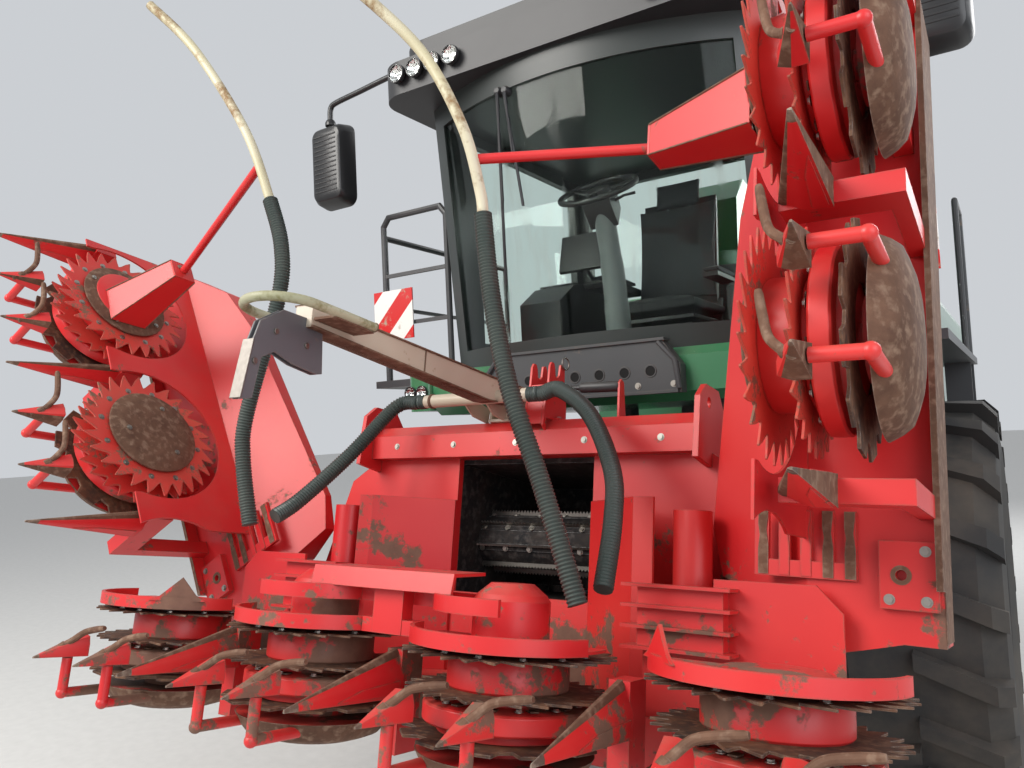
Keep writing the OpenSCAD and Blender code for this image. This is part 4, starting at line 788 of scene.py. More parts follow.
# A wedge that grows from its worn tip, with some of its sides rusty
def wedgeInto(bm, x, section, width, height, back, rusty):
    d = divider
    rings = []
    for k in range(d["sections"] + 1):
        t = (k / d["sections"]) ** 1.25
        grow = d["blunt"] + (1 - d["blunt"]) * t
        y = d["tip"] + (back - d["tip"]) * t + d["skin"]
        rings.append([(x + u * width * grow, y, d["base"] + d["skin"] + v * height * grow)
                      for u, v in section])
    loft(bm, rings, lambda k, i: 2 if k < 2 else int(i in rusty), (2, 0))


def bigDivider(bm, x):
    d = divider
    wedgeInto(bm, x, bigSection, d["bigWidth"], d["bigHeight"], d["bigBack"], (3, 4, 5, 6, 7, 11))
    for s in (-1, 1):  # pressed panel on each flank
        outer = []
        for t, v in ((0.42, 0.10), (0.97, 0.06), (0.97, 0.36), (0.62, 0.36)):
            grow = d["blunt"] + (1 - d["blunt"]) * t
            outer.append(Vector((x + s * (d["bigWidth"] * grow + 0.0025),
                                 d["tip"] + (d["bigBack"] - d["tip"]) * t,
                                 d["base"] + d["skin"] + v * d["bigHeight"] * grow)))
        loft(bm, (outer, [v - Vector((s * 0.006, 0, 0)) for v in outer]))


def smallDivider(bm, x, odd):
    d = divider
    rusty = (0, 1, 7) if odd else (1, 2, 7)
    wedgeInto(bm, x, smallSection, d["smallWidth"], d["smallHeight"], d["smallBack"], rusty)
    place = Vector((x, -rotor["discRadius"], d["base"]))
    finger = ((-0.012, -0.110, 0.020), (0, -0.080, 0.036), (0.020, -0.055, 0.060), (0.052, -0.035, 0.088),
              (0.105, -0.030, 0.102), (0.163, -0.030, 0.112))
    path = smoothPath([place + Vector(q) for q in finger])
    tubeInto(bm, path, [0.0115] * (len(path) - 3) + [0.011, 0.0105, 0.008], 1)
    collar = (place + Vector((-0.002, -0.084, 0.032)), place + Vector((0.006, -0.070, 0.046)))
    tubeInto(bm, collar, (0.016, 0.0145), 1)


def rimCap(bm, x, height):
    r, z = divider["capRadius"], divider["capZ"]
    lathe(bm, (x, 0, z), up, ((0, 0), (r, 0), (r, height * 0.28), (r - 0.006, height * 0.42),
                              (r - 0.016, height * 0.46), (r - 0.03, height * 0.74),
                              (r - 0.055, height * 0.92), (r * 0.45, height), (0, height)), 1, 56)


# The box that carries the pole's brace: wide at its foot, closed by a plate with a lip
def braceBox(bm, x, z):
    corners = ((-1, 0), (1, 0), (1, 1), (-1, 1))
    foot = [(x + 0.085 * u, -0.110 + 0.170 * v) for u, v in corners]
    end = [(x + 0.050 * u, -0.002 + 0.104 * v) for u, v in corners]
    loft(bm, ([(*p, z - 0.006) for p in foot], [(*p, z + 0.326) for p in end]))
    addBlock(bm, (x - 0.050, -0.002, z + 0.3262), (x + 0.050, 0.102, z + 0.3335))
    for p, q in zip(foot, end):
        tubeInto(bm, ((*p, z), (*q, z + 0.331)), 0.0028, 1, 6)
    disc(bm, (x + 0.018, 0.036, z + 0.3335), up, 0.012, 0.004, 2, 16)


bm = bmesh.new()
for k in (-1, 0, 1):
    bigDivider(bm, k * rowPitch)
for i in range(-1, 3):
    for s in (-1, 1):
        smallDivider(bm, (i - 0.5) * rowPitch + s * rowPitch / 6, (i + s) % 2)
finishPiece("headerDividers", bm, dividerFinish, headerFrame, "header", ("header_dividers",),
            0.0015)
for side, name in wings:
    body, place = "wing_" + name, wingFrame(side) @ at(0, 0, -hingeRise)
    lastRotor = firstRotor + rowPitch
    bm = bmesh.new()
    for k in (-0.5, 0.5, 1.5):
        bigDivider(bm, firstRotor + k * rowPitch)
    for k in (0, 1):
        for s in (-1, 1):
            smallDivider(bm, firstRotor + k * rowPitch + s * rowPitch / 6, (k + s) % 2)
    rimCap(bm, firstRotor, 0.026)
    rimCap(bm, lastRotor, 0.021)
    lathe(bm, (lastRotor, 0, 0.0335), up,
          ((0, -0.003), (0.150, -0.003), (0.150, 0.002), (0.142, 0.005), (0, 0.005)), 0, 48)
    braceBox(bm, lastRotor - 0.075, 0.039)
    replaced = ("wing_dividers_" + name,)
    finishPiece("wingDividers_" + name, bm, dividerFinish, place, body, replaced, 0.0015)
    spots = [((firstRotor + 0.13 * math.cos(a), 0.13 * math.sin(a), 0.0385), up) for a in (0.4, 2.5, 4.6)]
    spots += [((lastRotor + 0.172 * math.cos(a), 0.172 * math.sin(a), 0.032), up)
              for a in (0.9, 2.3, 3.6, 5.2)]
    boltPiece("capBolts_" + name, spots, place, body, 0.008, 0.005)
print("dividers made")

# Rusty wear dishes under the rotors, and the worn rail, comb and hinge plate of each wing
skid = {
    "z": -0.345, "railTop": -0.3405, "rail": (0.205, 1.938), "lip": (0.070, 1.936), "comb": (0.3812, 0.3838),
    "fingers": (-0.149, -0.090, -0.030, 0.030, 0.090), "plateY": 0.3718,
}
dish = ((0, -0.0025), (0.120, 0.0), (0.151, 0.0055), (0.190, 0.0175), (0.217, 0.028), (0.236, 0.050),
        (0.2525, 0.080), (0.2505, 0.0802), (0.234, 0.054), (0.2152, 0.0305), (0.150, 0.0085), (0, 0.0004))
finger = ((0.219, -0.014), (0.300, -0.0145), (0.345, -0.009), (0.385, -0.0135), (0.404, -0.014),
          (0.404, 0.014), (0.360, 0.0145), (0.330, 0.010), (0.290, 0.0145), (0.219, 0.014))


def wingSkids(side, name, s):
    bm = bmesh.new()
    for k in (0, 1):
        lathe(bm, (firstRotor + k * rowPitch, 0, s["z"] - hingeRise), up, dish, 0, 48)
    z = s["railTop"] - hingeRise
    sideInto(bm, ((0.338, z), (0.4035, z), (0.4035, z - 0.002), (0.336, z - 0.002), (0.336, z + 0.0145),
                  (0.338, z + 0.0145)), *s["rail"])
    sideInto(bm, ((0.3985, z), (0.592, z), (0.5935, z - 0.002), (0.3985, z - 0.002)), *s["lip"])
    for k, middle in enumerate(s["fingers"]):
        faceMat = 0 if k in (0, 1, 4) else 1
        loft(bm, [[(x, y, middle + w) for x, w in finger] for y in s["comb"]], 0, (faceMat, 0))
    washer(bm, (0.240, s["plateY"], z + 0.1005), (0, -1, 0), 0.0142, 0.026, 0.002, 0, 24)
    place, body = wingFrame(side), "wing_" + name
    finishPiece("wingSkids_" + name, bm, ("rustPlate", "redPaint"), place, body)
    spots = [((0.19 + 0.2 * k, 0.5935, z + 0.1105), (0, 1, 0)) for k in range(9)]
    spots += [((x, s["plateY"], z + lift), (0, -1, 0))
              for x, lift in ((0.175, 0.1305), (0.305, 0.0405), (0.175, 0.0405))]
    boltPiece("wingBolts_" + name, spots, place, body, 0.010, 0.007)


bm = bmesh.new()
for i in range(-1, 3):
    lathe(bm, ((i - 0.5) * rowPitch, 0, skid["z"]), up, dish, 0, 48)
finishPiece("headerSkids", bm, ("rustPlate",), headerFrame, "header")
for side, name in wings:
    wingSkids(side, name, skid)
print("skids made")

# Guide boom: flanged beam, hairpin loop, end bracket and the stubs of the sleeves
boom = {
    "root": (-0.060, 0.560, 0.790), "swing": 3.0, "stubAt": (-0.130, 0.450, 0.862), "stubHalf": 0.245,
    "stubRadius": 0.026, "stubBore": 0.021, "loopAt": (0, -1.195, 0.095), "loopRadius": 0.112,
    "loopTube": 0.0135,
}


def guideBeam(b, place):
    bm = bmesh.new()
    top = ((0.118, 0.149), (-0.180, 0.139), (-1.130, 0.129))
    low = ((0.0, 0.061), (-0.180, 0.041), (-1.130, 0.061))
    sideInto(bm, ((0.118, 0.062), *top, *low[::-1]), -0.032, 0.032)
    for line, lift in ((top, -0.005), (low, 0.0)):
        for (ya, za), (yb, zb) in zip(line, line[1:]):
            flange = ((ya, za + lift), (yb, zb + lift), (yb, zb + lift + 0.006), (ya, za + lift + 0.006))
            sideInto(bm, flange, -0.0385, 0.0385, 1)
    for x in (-0.036, 0.0325):
        addBlock(bm, (x, -0.60, 0.052), (x + 0.0035, -0.595, 0.132), 1)
    addBlock(bm, (-0.090, 0.020, 0), (0.090, 0.120, 0.012))
    addBlock(bm, (-0.086, 0.024, 0.0122), (-0.074, 0.116, 0.062))
    addBlock(bm, (0.074, 0.024, 0.0122), (0.086, 0.116, 0.062))
    addBlock(bm, (-0.050, 0.030, 0.0122), (0.050, 0.110, 0.0618))
    r = b["loopRadius"]
    loop = [(-r, 0.190, 0.004)]
    loop += [(*polar(r, math.pi + math.pi * k / 18), 0) for k in range(19)]
    loop += [(r, 0.10, 0.002), (r, 0.235, 0.004)]
    loop = [Vector(b["loopAt"]) + Vector(q) for q in loop]
    tubeInto(bm, loop, b["loopTube"], 2, 14)
    tubeInto(bm, (loop[-1], loop[-1] + Vector((0, 0.004, 0))), 0.0150, 1, 14)
    for s in (-1, 1):
        arm = ((-1.128, 0.088), (-1.000, 0.088), (-0.960, 0.080), (-1.128, 0.080))
        sideInto(bm, arm, s * 0.036, s * (r + 0.004), 1)
    finish = ("boomPaint", "rustPlate", "mossTube")
    finishPiece("guideBeam", bm, finish, place, "header", ("guide_boom",), 0.0012)


# Two bent plates with a strap that has four holes
def guideBracket(place):
    bm = bmesh.new()
    cheek = ((-1.062, 0.060), (-1.048, -0.054), (-1.070, -0.060), (-1.160, -0.053), (-1.230, -0.035),
             (-1.272, -0.060), (-1.286, -0.171), (-1.326, -0.181), (-1.306, -0.020), (-1.290, 0.035),
             (-1.215, 0.086), (-1.130, 0.088))
    for x in (-0.013, 0.007):
        sideInto(bm, cheek, x, x + 0.006)
    sideInto(bm, ((-1.262, -0.040), (-1.300, -0.028), (-1.323, -0.176), (-1.284, -0.168)), -0.0065, 0.0065)
    sideInto(bm, ((-1.307, -0.020), (-1.311, -0.019), (-1.3305, -0.178), (-1.3265, -0.179)), -0.020, 0.020, 1)
    for k in range(4):
        hole = (0, -1.3115 - 0.0043 * k, -0.046 - 0.034 * k)
        washer(bm, hole, (0, -0.993, 0.12), 0.0065, 0.0105, 0.0022, 1, 18)
    for y, z in ((-1.120, 0.010), (-1.235, 0.020), (-1.295, -0.075)):
        for s in (-1, 1):
            disc(bm, (s * 0.0131, y, z), (s, 0, 0), 0.009, 0.005, 1, 6)
    finishPiece("guideBracket", bm, ("bracketGrey", "rimSteel"), place, "header", (), 0.0012)


def sleeveStubs(b):
    bm = bmesh.new()
    x, y, z = b["stubAt"]
    half, rad = b["stubHalf"], b["stubRadius"]
    washer(bm, (x - half, y, z), (1, 0, 0), b["stubBore"], rad, half * 2, 0, 26)
    collar = ((rad - 0.001, 0), (rad + 0.004, 0.002), (rad + 0.004, 0.012), (rad - 0.001, 0.014))
    arm = [(y + dy, z + dz) for dy, dz in
           ((-0.024, -0.008), (0.060, -0.060), (0.170, -0.072), (0.170, -0.010), (0.022, 0.014))]
    for s in (-1, 1):
        lathe(bm, (x + 0.205 * s, y, z), (s, 0, 0), collar, 1, 26, True)
        sideInto(bm, arm, x + 0.050 * s - 0.004, x + 0.050 * s + 0.004)
    tubeInto(bm, ((x - 0.03, y + 0.02, z + 0.02), (x + 0.045, y + 0.10, z + 0.075)), 0.011, 1)
    finishPiece("sleeveStubs", bm, ("boomPaint", "rustPlate"), headerFrame, "header", (),
                0.0008)


boomFrame = headerFrame @ at(*boom["root"]) @ turned("Z", boom["swing"])
guideBeam(boom, boomFrame)
guideBracket(boomFrame)
sleeveStubs(boom)

# Hitch tower on the top beam: two horned ears with a web, a pin with a ring, and a tensioner beside it
tower = {
    "ears": (0.045, 0.125), "earThickness": 0.010, "web": (0.0552, 0.1248), "pinY": 0.626, "pinZ": 0.925,
    "ringTube": 0.0035, "foot": 0.7905,
}


def makeTower(t):
    bm = bmesh.new()
    foot = t["foot"]
    ear = ((0.5525, 0.742), (0.5525, 0.790), (0.600, foot), (0.706, foot), (0.704, 0.860), (0.684, 0.930),
           (0.680, 1.008), (0.666, 1.026), (0.648, 1.020), (0.641, 0.975), (0.626, 0.962), (0.610, 0.966),
           (0.603, 1.000), (0.594, 1.016), (0.576, 1.016), (0.565, 0.998), (0.560, 0.930), (0.540, 0.850),
           (0.528, 0.760))
    for x in t["ears"]:
        sideInto(bm, ear, x, x + t["earThickness"])
    backWeb = ((0.5285, 0.765), (0.5405, 0.850), (0.5605, 0.925), (0.5665, 0.925), (0.5465, 0.850),
               (0.5345, 0.765))
    sideInto(bm, backWeb, *t["web"])
    sideInto(bm, ((0.690, foot), (0.700, foot), (0.698, 0.860), (0.688, 0.860)), *t["web"])
    addBlock(bm, (0.020, 0.600, 0.7902), (0.165, 0.720, 0.7985))
    for x, radius, length in ((0.030, 0.016, 0.120), (0.024, 0.023, 0.007), (0.150, 0.023, 0.007)):
        disc(bm, (x, t["pinY"], t["pinZ"]), (1, 0, 0), radius, length, 1, 20)
    ring = [(0.142 + 0.003 * math.sin(a), 0.672 + 0.022 * math.sin(a), 1.030 + 0.024 * math.cos(a))
            for a in circle(24) + [math.tau]]
    tubeInto(bm, ring, t["ringTube"], 1, 8)
    tensioner = ((0, 0), (0.010, 0), (0.010, 0.070), (0.019, 0.070), (0.021, 0.080), (0.021, 0.225),
                 (0.017, 0.235), (0, 0.235))
    lathe(bm, (0.155, 0.655, t["pinZ"]), (1, 0, -0.03), tensioner, 2, 24)
    sideInto(bm, ((0.640, foot), (0.700, foot), (0.675, 0.935), (0.655, 0.945), (0.640, 0.930)), 0.388, 0.398)
    finish = ("redPaint", "rimSteel", "blackPlastic")
    finishPiece("hitchTower", bm, finish, headerFrame, "header", (), 0.0012)
    spots = [((x, y, 0.7985), up) for x in (0.032, 0.152) for y in (0.620, 0.700)]
    spots += [((-0.60 + 0.30 * k, 0.5525, 0.700), (0, -1, 0)) for k in range(5)]
    boltPiece("towerBolts", spots, headerFrame, "header", 0.009, 0.006)


makeTower(tower)
print("boom and tower made")

# Cab: its pieces stand on the floor, and the windscreen is part of a leaning cylinder
cab = {"floor": 2.230, "nose": 1.230, "glassRadius": 1.560, "glassInset": 0.014, "lean": 6.0, "base": 2.180}
cabFrame = machineFrame @ at(0, 0, cab["floor"])
backFrame = at(0, 0.062, 0.335) @ turned("X", -8)
cushion = {"cuts": 13, "waist": 0.045, "seamWidth": 0.045, "seamDepth": 0.085, "welt": 0.012, "fill": 0.8}


# A crowned closed form: its sides pull in between the corners, with sewn channels along it
def cushionPiece(name, place, half, crown, channels=()):
    c = cushion
    bm = bmesh.new()
    bmesh.ops.create_cube(bm, size=2.0)
    bmesh.ops.subdivide_edges(bm, edges=bm.edges, cuts=c["cuts"], use_grid_fill=True)
    for v in bm.verts:
        x, y, z = v.co
        edge = (1 - abs(x) ** 5) * (1 - abs(y) ** 5)
        pull = 1 - c["waist"] * (1 - y * y) - 0.03 * z * z
        seam = sum(math.exp(-((x - middle) / c["seamWidth"]) ** 2) for middle in channels)
        lift = 1 - crown * (x * x + y * y) * 0.5 - c["seamDepth"] * seam * edge
        rim = (1 + c["welt"] * math.exp(-((z - 0.55) / 0.12) ** 2)) * (1 - 0.10 * abs(z) ** 6)
        v.co = Vector((half[0] * x * pull * rim, half[1] * y * (1 - 0.05 * (1 - x * x)) * rim,
                       half[2] * z * lift * (0.62 + 0.38 * max(edge, 0) ** 0.35)))
    piece = finishPiece(name, bm, ("seatCloth",), cabFrame @ place, "machine", (), 0.0, 60)


lying = turned("X", 90)
cushionPiece("seatCushion", at(0, -0.160, 0.262), (0.262, 0.255, 0.066), 0.35, (-0.52, 0.52, 0.0))
cushionPiece("seatBack", backFrame @ at(0, -0.012, 0.300) @ lying, (0.235, 0.285, 0.056), 0.3, (-0.55, 0.55))
cushionPiece("headRest", backFrame @ at(0, -0.004, 0.668) @ lying, (0.135, 0.075, 0.045), 0.3)
cushionPiece("armRestPad", at(-0.305, -0.175, 0.468), (0.055, 0.190, 0.026), 0.3)
cushionPiece("armRestPadLeft", at(0.305, -0.100, 0.448), (0.042, 0.150, 0.022), 0.3)


# Side outlines of the pan, the arm rests, the screen's case, the console with its lid and the small console
seatSides = (
    (((-0.400, 0.178), (0.050, 0.172), (0.095, 0.215), (0.120, 0.330), (0.098, 0.335), (0.070, 0.225),
      (0.040, 0.196), (-0.400, 0.198)), -0.248, 0.248),
    (((-0.430, 0.400), (0.060, 0.400), (0.075, 0.440), (-0.010, 0.444), (-0.400, 0.444), (-0.445, 0.425)),
     -0.372, -0.238),
    (((-0.270, 0.405), (0.070, 0.405), (0.070, 0.428), (-0.270, 0.428)), 0.262, 0.348),
    (((-0.520, 0.50), (-0.500, 0.49), (-0.440, 0.70), (-0.460, 0.71)), -0.480, -0.210),
    (((-0.600, 0), (0.148, 0), (0.148, 0.470), (-0.100, 0.478), (-0.420, 0.440), (-0.600, 0.330)), -0.700,
     -0.440),
    (((-0.395, 0.447), (-0.115, 0.4795), (-0.115, 0.490), (-0.395, 0.458)), -0.680, -0.460),
    (((-0.240, 0), (0.075, 0), (0.075, 0.350), (-0.150, 0.372), (-0.240, 0.340)), 0.380, 0.500),
)


def seatFrame():
    bm = bmesh.new()
    shell = ((0.030, -0.02), (0.050, 0.02), (0.058, 0.32), (0.046, 0.625), (0.024, 0.640), (0.026, 0.30),
             (0.018, 0.0))
    sideInto(bm, shell, -0.225, 0.225)
    for x in (-0.07, 0.07):
        tubeInto(bm, ((x, 0.010, 0.58), (x, 0.006, 0.66)), 0.008, 1)
    bm.transform(backFrame)
    addBlock(bm, (-0.235, -0.330, 0), (0.235, 0.050, 0.022))
    for k in range(5):  # bellows of the suspension
        z, tuck = 0.028 + 0.028 * k, 0.012 * (k % 2)
        addBlock(bm, (tuck - 0.205, tuck - 0.310, z), (0.205 - tuck, 0.030 - tuck, z + 0.024))
    for outline, x0, x1 in seatSides:
        sideInto(bm, outline, x0, x1)
    for x in (-0.352, -0.331, -0.310):  # key pad
        for y in (-0.395, -0.365, -0.335, -0.305):
            addBlock(bm, (x, y, 0.444), (x + 0.015, y + 0.020, 0.449), 2)
    lever = ((-0.275, -0.340, 0.440), (-0.277, -0.352, 0.500), (-0.282, -0.372, 0.560))
    tubeInto(bm, lever, (0.010, 0.009, 0.012), 0, 12)
    knob = ((0, 0), (0.020, 0.006), (0.027, 0.030), (0.024, 0.058), (0.012, 0.074), (0, 0.077))
    lathe(bm, (-0.283, -0.376, 0.555), (-0.08, -0.25, 1), knob, 0, 20)
    screen = ((-0.4965, 0.507), (-0.4955, 0.5067), (-0.4385, 0.698), (-0.4395, 0.6985))
    sideInto(bm, screen, -0.466, -0.224, 3)
    tubeInto(bm, ((-0.345, -0.30, 0.42), (-0.345, -0.42, 0.50), (-0.345, -0.475, 0.585)), 0.011)
    finish = ("blackPlastic", "chromeRod", "keyPlastic", "screenGlass")
    finishPiece("seatFrame", bm, finish, cabFrame, "machine", ("cab_interior",), 0.003)


def steeringColumn():
    bm = bmesh.new()
    foot = ((0, 0), (0.115, 0), (0.110, 0.018), (0.080, 0.030), (0.070, 0.060), (0, 0.060))
    lathe(bm, (0, -0.800, 0), up, foot)
    column = ((0, -0.800, 0.030), (0, -0.815, 0.200), (0, -0.845, 0.420), (0, -0.893, 0.610),
              (0, -0.925, 0.715))
    girth = [0.062] * 5 + [0.058] * 4 + [0.052] * 4 + [0.048] * 3 + [0.044]
    tubeInto(bm, smoothPath(column), girth, 0, 20)
    sideInto(bm, ((-0.905, 0.600), (-0.995, 0.700), (-1.000, 0.735), (-0.900, 0.760), (-0.865, 0.690)),
             -0.075, 0.075, 1)
    pedal = ((-1.000, 0.005), (-0.905, 0.075), (-0.899, 0.068), (-0.994, -0.002))
    for s in (-1, 1):
        stalk = ((s * 0.060, -0.930, 0.715), (s * 0.120, -0.925, 0.735), (s * 0.175, -0.915, 0.740))
        tubeInto(bm, stalk, (0.009, 0.007, 0.008), 1, 8)
        sideInto(bm, pedal, s * 0.170 - 0.045, s * 0.170 + 0.045, 1)
    finishPiece("steeringColumn", bm, ("columnGrey", "blackPlastic"), cabFrame, "machine", (),
                0.003)


wheel = {"radius": 0.190, "grip": 0.0145, "place": (0, -0.962, 0.775), "tilt": 30, "spokes": (30, 150, 270)}


def steeringWheel(w):
    bm = bmesh.new()
    grip = [polar(w["grip"], a) for a in circle(12)]
    lathe(bm, (0, 0, 0), up, [(w["radius"] + r, z) for r, z in grip], 0, 64, True)
    hub = ((0, 0), (0.046, 0), (0.062, 0.022), (0.058, 0.040), (0.030, 0.048), (0, 0.050))
    lathe(bm, (0, 0, -0.034), up, hub, 0, 32)
    for angle in w["spokes"]:
        for off in (-0.011, 0.011):
            spoke = ((0.040, off, -0.008), (0.090, off * 1.15, -0.013), (0.145, off * 1.2, -0.007),
                     (0.186, off * 1.1, 0.0))
            tubeInto(bm, [turned("Z", angle) @ Vector(q) for q in spoke], (0.010, 0.009, 0.008, 0.008), 0, 8)
    place = cabFrame @ at(*w["place"]) @ turned("X", w["tilt"])
    finishPiece("steeringWheel", bm, ("wheelPlastic",), place, "machine", (), 0.0, 50)


seatFrame()
steeringColumn()
steeringWheel(wheel)
print("cab inside made")

# Lamps: where each part starts, its finish, its steps and its profile, in shares of the radius and the depth
lampParts = (
    (0.0, 0, 32, ((0, 0), (0.55, 0), (0.98, 0.45), (1, 0.9), (0.97, 1), (0.90, 1), (0.88, 0.84), (0.40, 0.16),
                  (0, 0.12))),
    (0.14, 1, 32, ((0, 0), (0.40, 0.04), (0.87, 0.70), (0.85, 0.71), (0.38, 0.07), (0, 0.03))),
    (0.18, 1, 16, ((0, 0), (0.16, 0), (0.17, 0.30), (0.10, 0.40), (0, 0.42))),
    (0.88, 2, 32, ((0, 0), (0.88, 0), (0.885, 0.06), (0.6, 0.16), (0.3, 0.20), (0, 0.21))),
)
beacon = {
    "place": (0.882, -0.300, 3.848), "foot": ((0, 0), (0.050, 0), (0.052, 0.006), (0.050, 0.020), (0, 0.020)),
    "lift": 0.021, "dome": ((0, 0), (0.045, 0), (0.046, 0.045), (0.040, 0.062), (0.022, 0.070), (0, 0.071)),
}


def lampInto(bm, x, y, z, facing, radius, depth):
    for start, mat, steps, profile in lampParts:
        shape = [(radius * r, depth * h) for r, h in profile]
        lathe(bm, (x, y + facing * depth * start, z), (0, facing, 0), shape, mat, steps)


def lampBodies():
    bm = bmesh.new()
    x, y, z = beacon["place"]
    for s in (-1, 1):
        for k in (0, 1):
            lampInto(bm, s * 0.925 + (k - 0.5) * 0.074, -1.268, 2.070, -1, 0.0345, 0.026)
        for k in range(4):
            lampInto(bm, s * (0.500 + 0.110 * k), -1.418, 3.650, -1, 0.047, 0.042)
        lampInto(bm, s * 0.700, 0.478, 3.650, 1, 0.046, 0.042)
        lathe(bm, (s * x, y, z), up, beacon["foot"])
        lathe(bm, (s * x, y, z + beacon["lift"]), up, beacon["dome"], 3)
    finish = ("blackPlastic", "reflector", "lensGlass", "beaconAmber")
    finishPiece("lampBodies", bm, finish, machineFrame, "machine", ("lamps",), 0.0, 45)


lampBodies()

# Dark cross member under the cab: a folded plate with a row of round holes, each a rim round a near-black
# disc of painted shade, and a slanting stay on each side
crossMember = {"front": -1.3025, "depth": 0.060, "flange": 0.012, "holePitch": 0.120, "holeZ": 2.080,
               "boltZ": 2.02}


def makeCrossMember(c):
    bm = bmesh.new()
    front, back, flange = c["front"], c["front"] + c["depth"], c["front"] - c["flange"]
    outline = ((-0.492, 1.983), (0.492, 1.983), (0.492, 2.101), (0.411, 2.2165), (-0.411, 2.2165),
               (-0.492, 2.101))
    loft(bm, [[(x, y, z) for x, z in outline] for y in (front, back)])
    addBlock(bm, (-0.430, flange, 2.205), (0.430, back, 2.2175))
    addBlock(bm, (-0.480, flange, 1.983), (0.480, front, 1.995))
    for k in range(-3, 4):
        hole = (k * c["holePitch"], front, c["holeZ"])
        # A thin near-black disc on the solid plate is painted shade that stands for the dark inside of the
        # hole
        disc(bm, hole, (0, -1, 0), 0.0215, 0.0012, 1, 24)
        lathe(bm, hole, (0, -1, 0), ((0.0216, 0), (0.028, 0), (0.027, 0.003), (0.0216, 0.003)), 0, 24, True)
    for s in (-1, 1):
        stay = ((s * 0.40, front - 0.004, 2.200), (s * 0.47, front - 0.006, 2.120),
                (s * 0.485, front - 0.006, 2.000))
        tubeInto(bm, stay, 0.012, 0, 8)
    finish = ("chassisPaint", "paintedHoleShade")
    finishPiece("crossMember", bm, finish, machineFrame, "machine", (), 0.0015)
    spots = [((x, front, c["boltZ"]), (0, -1, 0)) for x in (-0.46, -0.30, -0.06, 0.06, 0.30, 0.46)]
    boltPiece("crossMemberBolts", spots, machineFrame, "machine", 0.010, 0.007)


makeCrossMember(crossMember)


# A point on the curved windscreen at a width and a height, standing out by some distance
def onGlass(x, z, out):
    r, lean = cab["glassRadius"] - cab["glassInset"] + out, math.radians(cab["lean"])
    reach = -math.sqrt(r * r - x * x)
    along = (z - cab["base"] - reach * math.sin(lean)) / math.cos(lean)
    y = cab["glassRadius"] - cab["nose"] + reach * math.cos(lean) - along * math.sin(lean)
    return Vector((x, y, z))


# Each wiper: its widths at the pivot, the arm's end and the blade's end, then its top and its foot
wipers = {
    "places": ((-0.300, -0.340, -0.395, 3.440, 2.560), (-0.255, -0.250, -0.215, 3.430, 2.900)),
    "arm": (0.009, 0.009, 0.007, 0.007, 0.007, 0.006, 0.006), "blade": 0.0065, "lip": 0.0045,
    "pivot": ((0, 0), (0.022, 0), (0.022, 0.030), (0.014, 0.042), (0, 0.044)),
}


def makeWipers(w):
    bm = bmesh.new()
    for x0, x1, x2, top, foot in w["places"]:
        drop = top - foot
        arm = [onGlass(x0 + (x1 - x0) * k / 6, top - drop * 0.55 * k / 6, 0.038 - 0.002 * k)
               for k in range(7)]
        tubeInto(bm, arm, w["arm"], 0, 8)
        along = [(x1 + (x2 - x1) * (k / 10 - 0.25), top - drop * (0.20 + 0.80 * k / 10)) for k in range(11)]
        blade = [onGlass(x, z, 0.021) for x, z in along]
        tubeInto(bm, blade, w["blade"], 0, 6)
        tubeInto(bm, [onGlass(x, z, 0.013) for x, z in along], w["lip"], 0, 4)
        tubeInto(bm, (arm[-1], blade[5]), 0.007, 0, 8)
        lathe(bm, onGlass(x0, top + 0.004, 0.002), (0, -1, 0.1), w["pivot"], 0, 18)
    finishPiece("wipers", bm, ("blackPlastic",), machineFrame, "machine", (), 0.0, 45)


makeWipers(wipers)

# Mirror housings with ribbed backs and a glass that looks to the rear
mirror = {
    "middle": (1.495, 3.3825), "corner": 0.054, "halfWidth": 0.070, "halfHeight": 0.1775, "ribs": 13,
    "ribPitch": 0.026,
    "layers": ((-1.182, 0.0), (-1.196, 0.0), (-1.262, 0.012), (-1.290, 0.030), (-1.298, 0.055)),
    "arm": ((0.968, -1.240, 3.735), (0.990, -1.240, 3.768), (1.060, -1.240, 3.772), (1.270, -1.240, 3.752),
            (1.450, -1.240, 3.735), (1.492, -1.240, 3.715), (1.500, -1.240, 3.665), (1.500, -1.240, 3.600)),
    "socket": ((0.0, 0), (0.030, 0), (0.030, 0.018), (0.022, 0.034), (0, 0.034)),
}


def mirrorPiece(side, name, m):
    bm = bmesh.new()
    outline = []
    for start, (u, v) in zip((0, 90, 180, 270), ((1, 1), (-1, 1), (-1, -1), (1, -1))):
        for k in range(7):
            x, z = polar(m["corner"], math.radians(start + 15 * k))
            outline.append((u * m["halfWidth"] + x, v * m["halfHeight"] + z))
    midX, midZ = m["middle"]
    rings = []
    for y, shrink in m["layers"]:
        shares = [1 - shrink / max(abs(x), abs(z), 0.05) for x, z in outline]
        rings.append([(midX + x * k, y, midZ + z * k) for (x, z), k in zip(outline, shares)])
    loft(bm, rings)
    for k in range(m["ribs"]):
        z = 3.225 + m["ribPitch"] * k
        addBlock(bm, (1.412, -1.3005, z), (1.578, -1.2955, z + 0.009))
    addBlock(bm, (1.396, -1.1835, 3.185), (1.594, -1.1795, 3.580), 1)
    tubeInto(bm, smoothPath(m["arm"], 5), 0.0155, 0, 12)
    lathe(bm, (1.500, -1.240, 3.612), up, m["socket"], 0, 20)
    finishPiece("mirrorHousing_" + name, bm, ("mirrorPlastic", "reflector"), machineFrame @ flipped(side),
                "machine", ("mirrors",) if side > 0 else (), 0.003, 35)


for side, name in wings:
    mirrorPiece(side, name, mirror)
print("lamps, wipers and mirrors made")

# Feed roller: a drum with toothed bars, each on a bolted strip
roller = {
    "at": (0, 0.900, 0.330), "half": 0.350, "drum": 0.109, "shoulder": 0.100, "bar": 0.134,
    "toothDepth": 0.011, "teeth": 46, "bars": 8, "firstBar": 0.15, "bore": 0.0305,
}


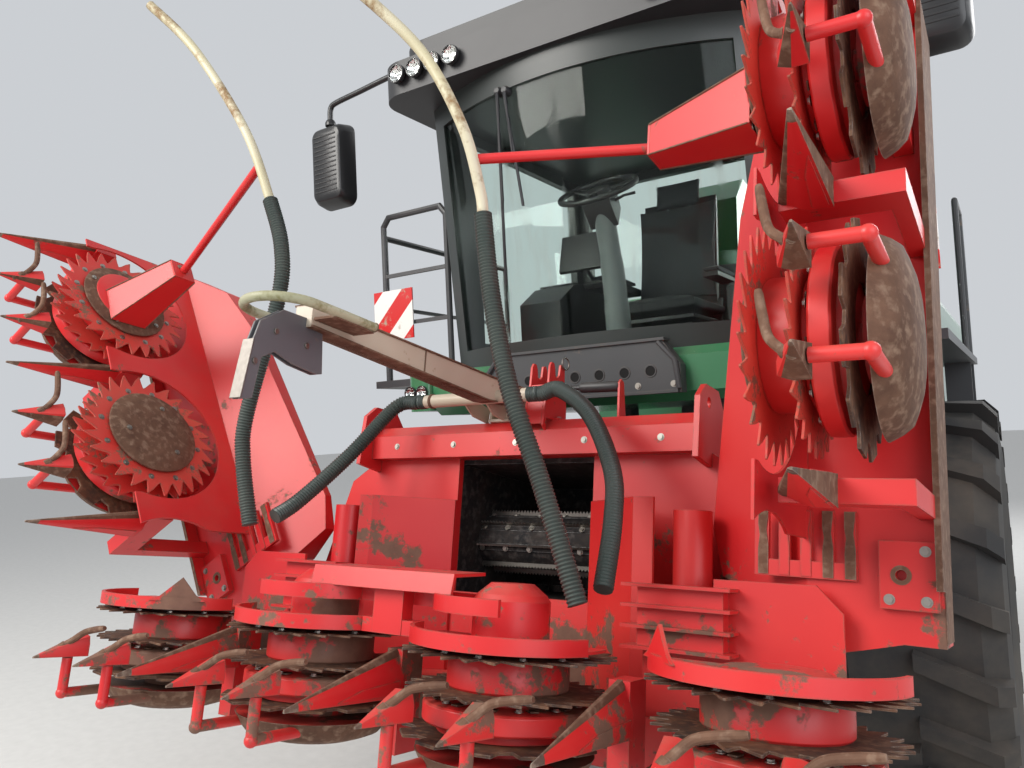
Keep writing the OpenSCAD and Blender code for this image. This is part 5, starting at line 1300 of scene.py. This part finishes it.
def makeRoller(r):
    bm = bmesh.new()
    place = headerFrame @ at(*r["at"])
    half, drum = r["half"], r["drum"]
    lathe(bm, (-half, 0, 0), (1, 0, 0), (
        (r["bore"], 0), (r["shoulder"], 0), (drum, 0.006), (drum, 2 * half - 0.006),
        (r["shoulder"], 2 * half), (r["bore"], 2 * half)), 0, 40, True)
    end = half - 0.01
    saw = [(end * (k / r["teeth"] - 1), r["bar"] - r["toothDepth"] * (1 - k % 2))
           for k in range(2 * r["teeth"] + 1)]
    saw += [(end, drum - 0.006), (-end, drum - 0.006)]
    spots = []
    for angle in circle(r["bars"], r["firstBar"]):
        turn = Matrix.Rotation(angle, 4, "X")
        addBlock(bm, (0.004 - half, -0.024, drum - 0.006), (half - 0.004, -0.0045, drum + 0.003), 0, turn)
        loft(bm, [[turn @ Vector((x, y, z)) for x, z in saw] for y in (-0.0045, 0.0025)], 1)
        spots += [(turn @ Vector((-0.29 + 0.116 * k, -0.0145, drum + 0.003)), turn @ Vector(up))
                  for k in range(6)]
    bmesh.ops.recalc_face_normals(bm, faces=bm.faces)
    finishPiece("rollerDrum", bm, ("darkSteel", "rimSteel"), place, "feed_roller",
                ("feed_roller",))
    boltPiece("rollerBolts", spots, place, "feed_roller", 0.009, 0.006)


makeRoller(roller)
print("roller made")

# Floor, world and lamps of the studio
studio = {"floor": (0.62, 0.61, 0.59), "sky": (0.80, 0.83, 0.87), "skyLight": 0.75, "reach": 60}


def makeStudio(s):
    mesh = bpy.data.meshes.new("floor")
    r = s["reach"]
    mesh.from_pydata([(-r, -r, 0), (r, -r, 0), (r, r, 0), (-r, r, 0)], [], [(0, 1, 2, 3)])
    floor = linked("floor", mesh)
    mat, tree, shader, coords = newMaterial("paleFloor")
    grain = ramp(tree, noise(tree, coords, 14.0, 6), 0.3, 0.7)
    color = mixColor(tree, grain, s["floor"], tuple(c * 0.93 for c in s["floor"]))
    setInputs(tree, shader, {"Base Color": color, "Roughness": 0.85})
    mesh.materials.append(mat)
    world = bpy.data.worlds.new("studio")
    scene.world = world
    world.use_nodes = True
    tree = world.node_tree
    setInputs(tree, tree.nodes["Background"], {"Color": (*s["sky"], 1), "Strength": s["skyLight"]})


def makeLamp(name, size, power, place, target, color):
    data = bpy.data.lights.new(name, "AREA")
    data.size, data.energy, data.color = size, power, color
    lamp = linked(name, data)
    lamp.location = place
    lamp.rotation_euler = (Vector(target) - Vector(place)).to_track_quat("-Z", "Y").to_euler()


makeStudio(studio)
makeLamp("keyLamp", 5.0, 900, (-3.5, -9.5, 7.0), (0, -3, 1.5), (1, 0.97, 0.92))
makeLamp("fillLamp", 6.0, 350, (7.0, -7.0, 4.5), (0.5, -3, 1.5), (0.93, 0.96, 1))
makeLamp("backLamp", 6.0, 500, (4.0, 7.0, 7.0), (0, 0, 2.0), (1, 1, 1))
print("studio ready")
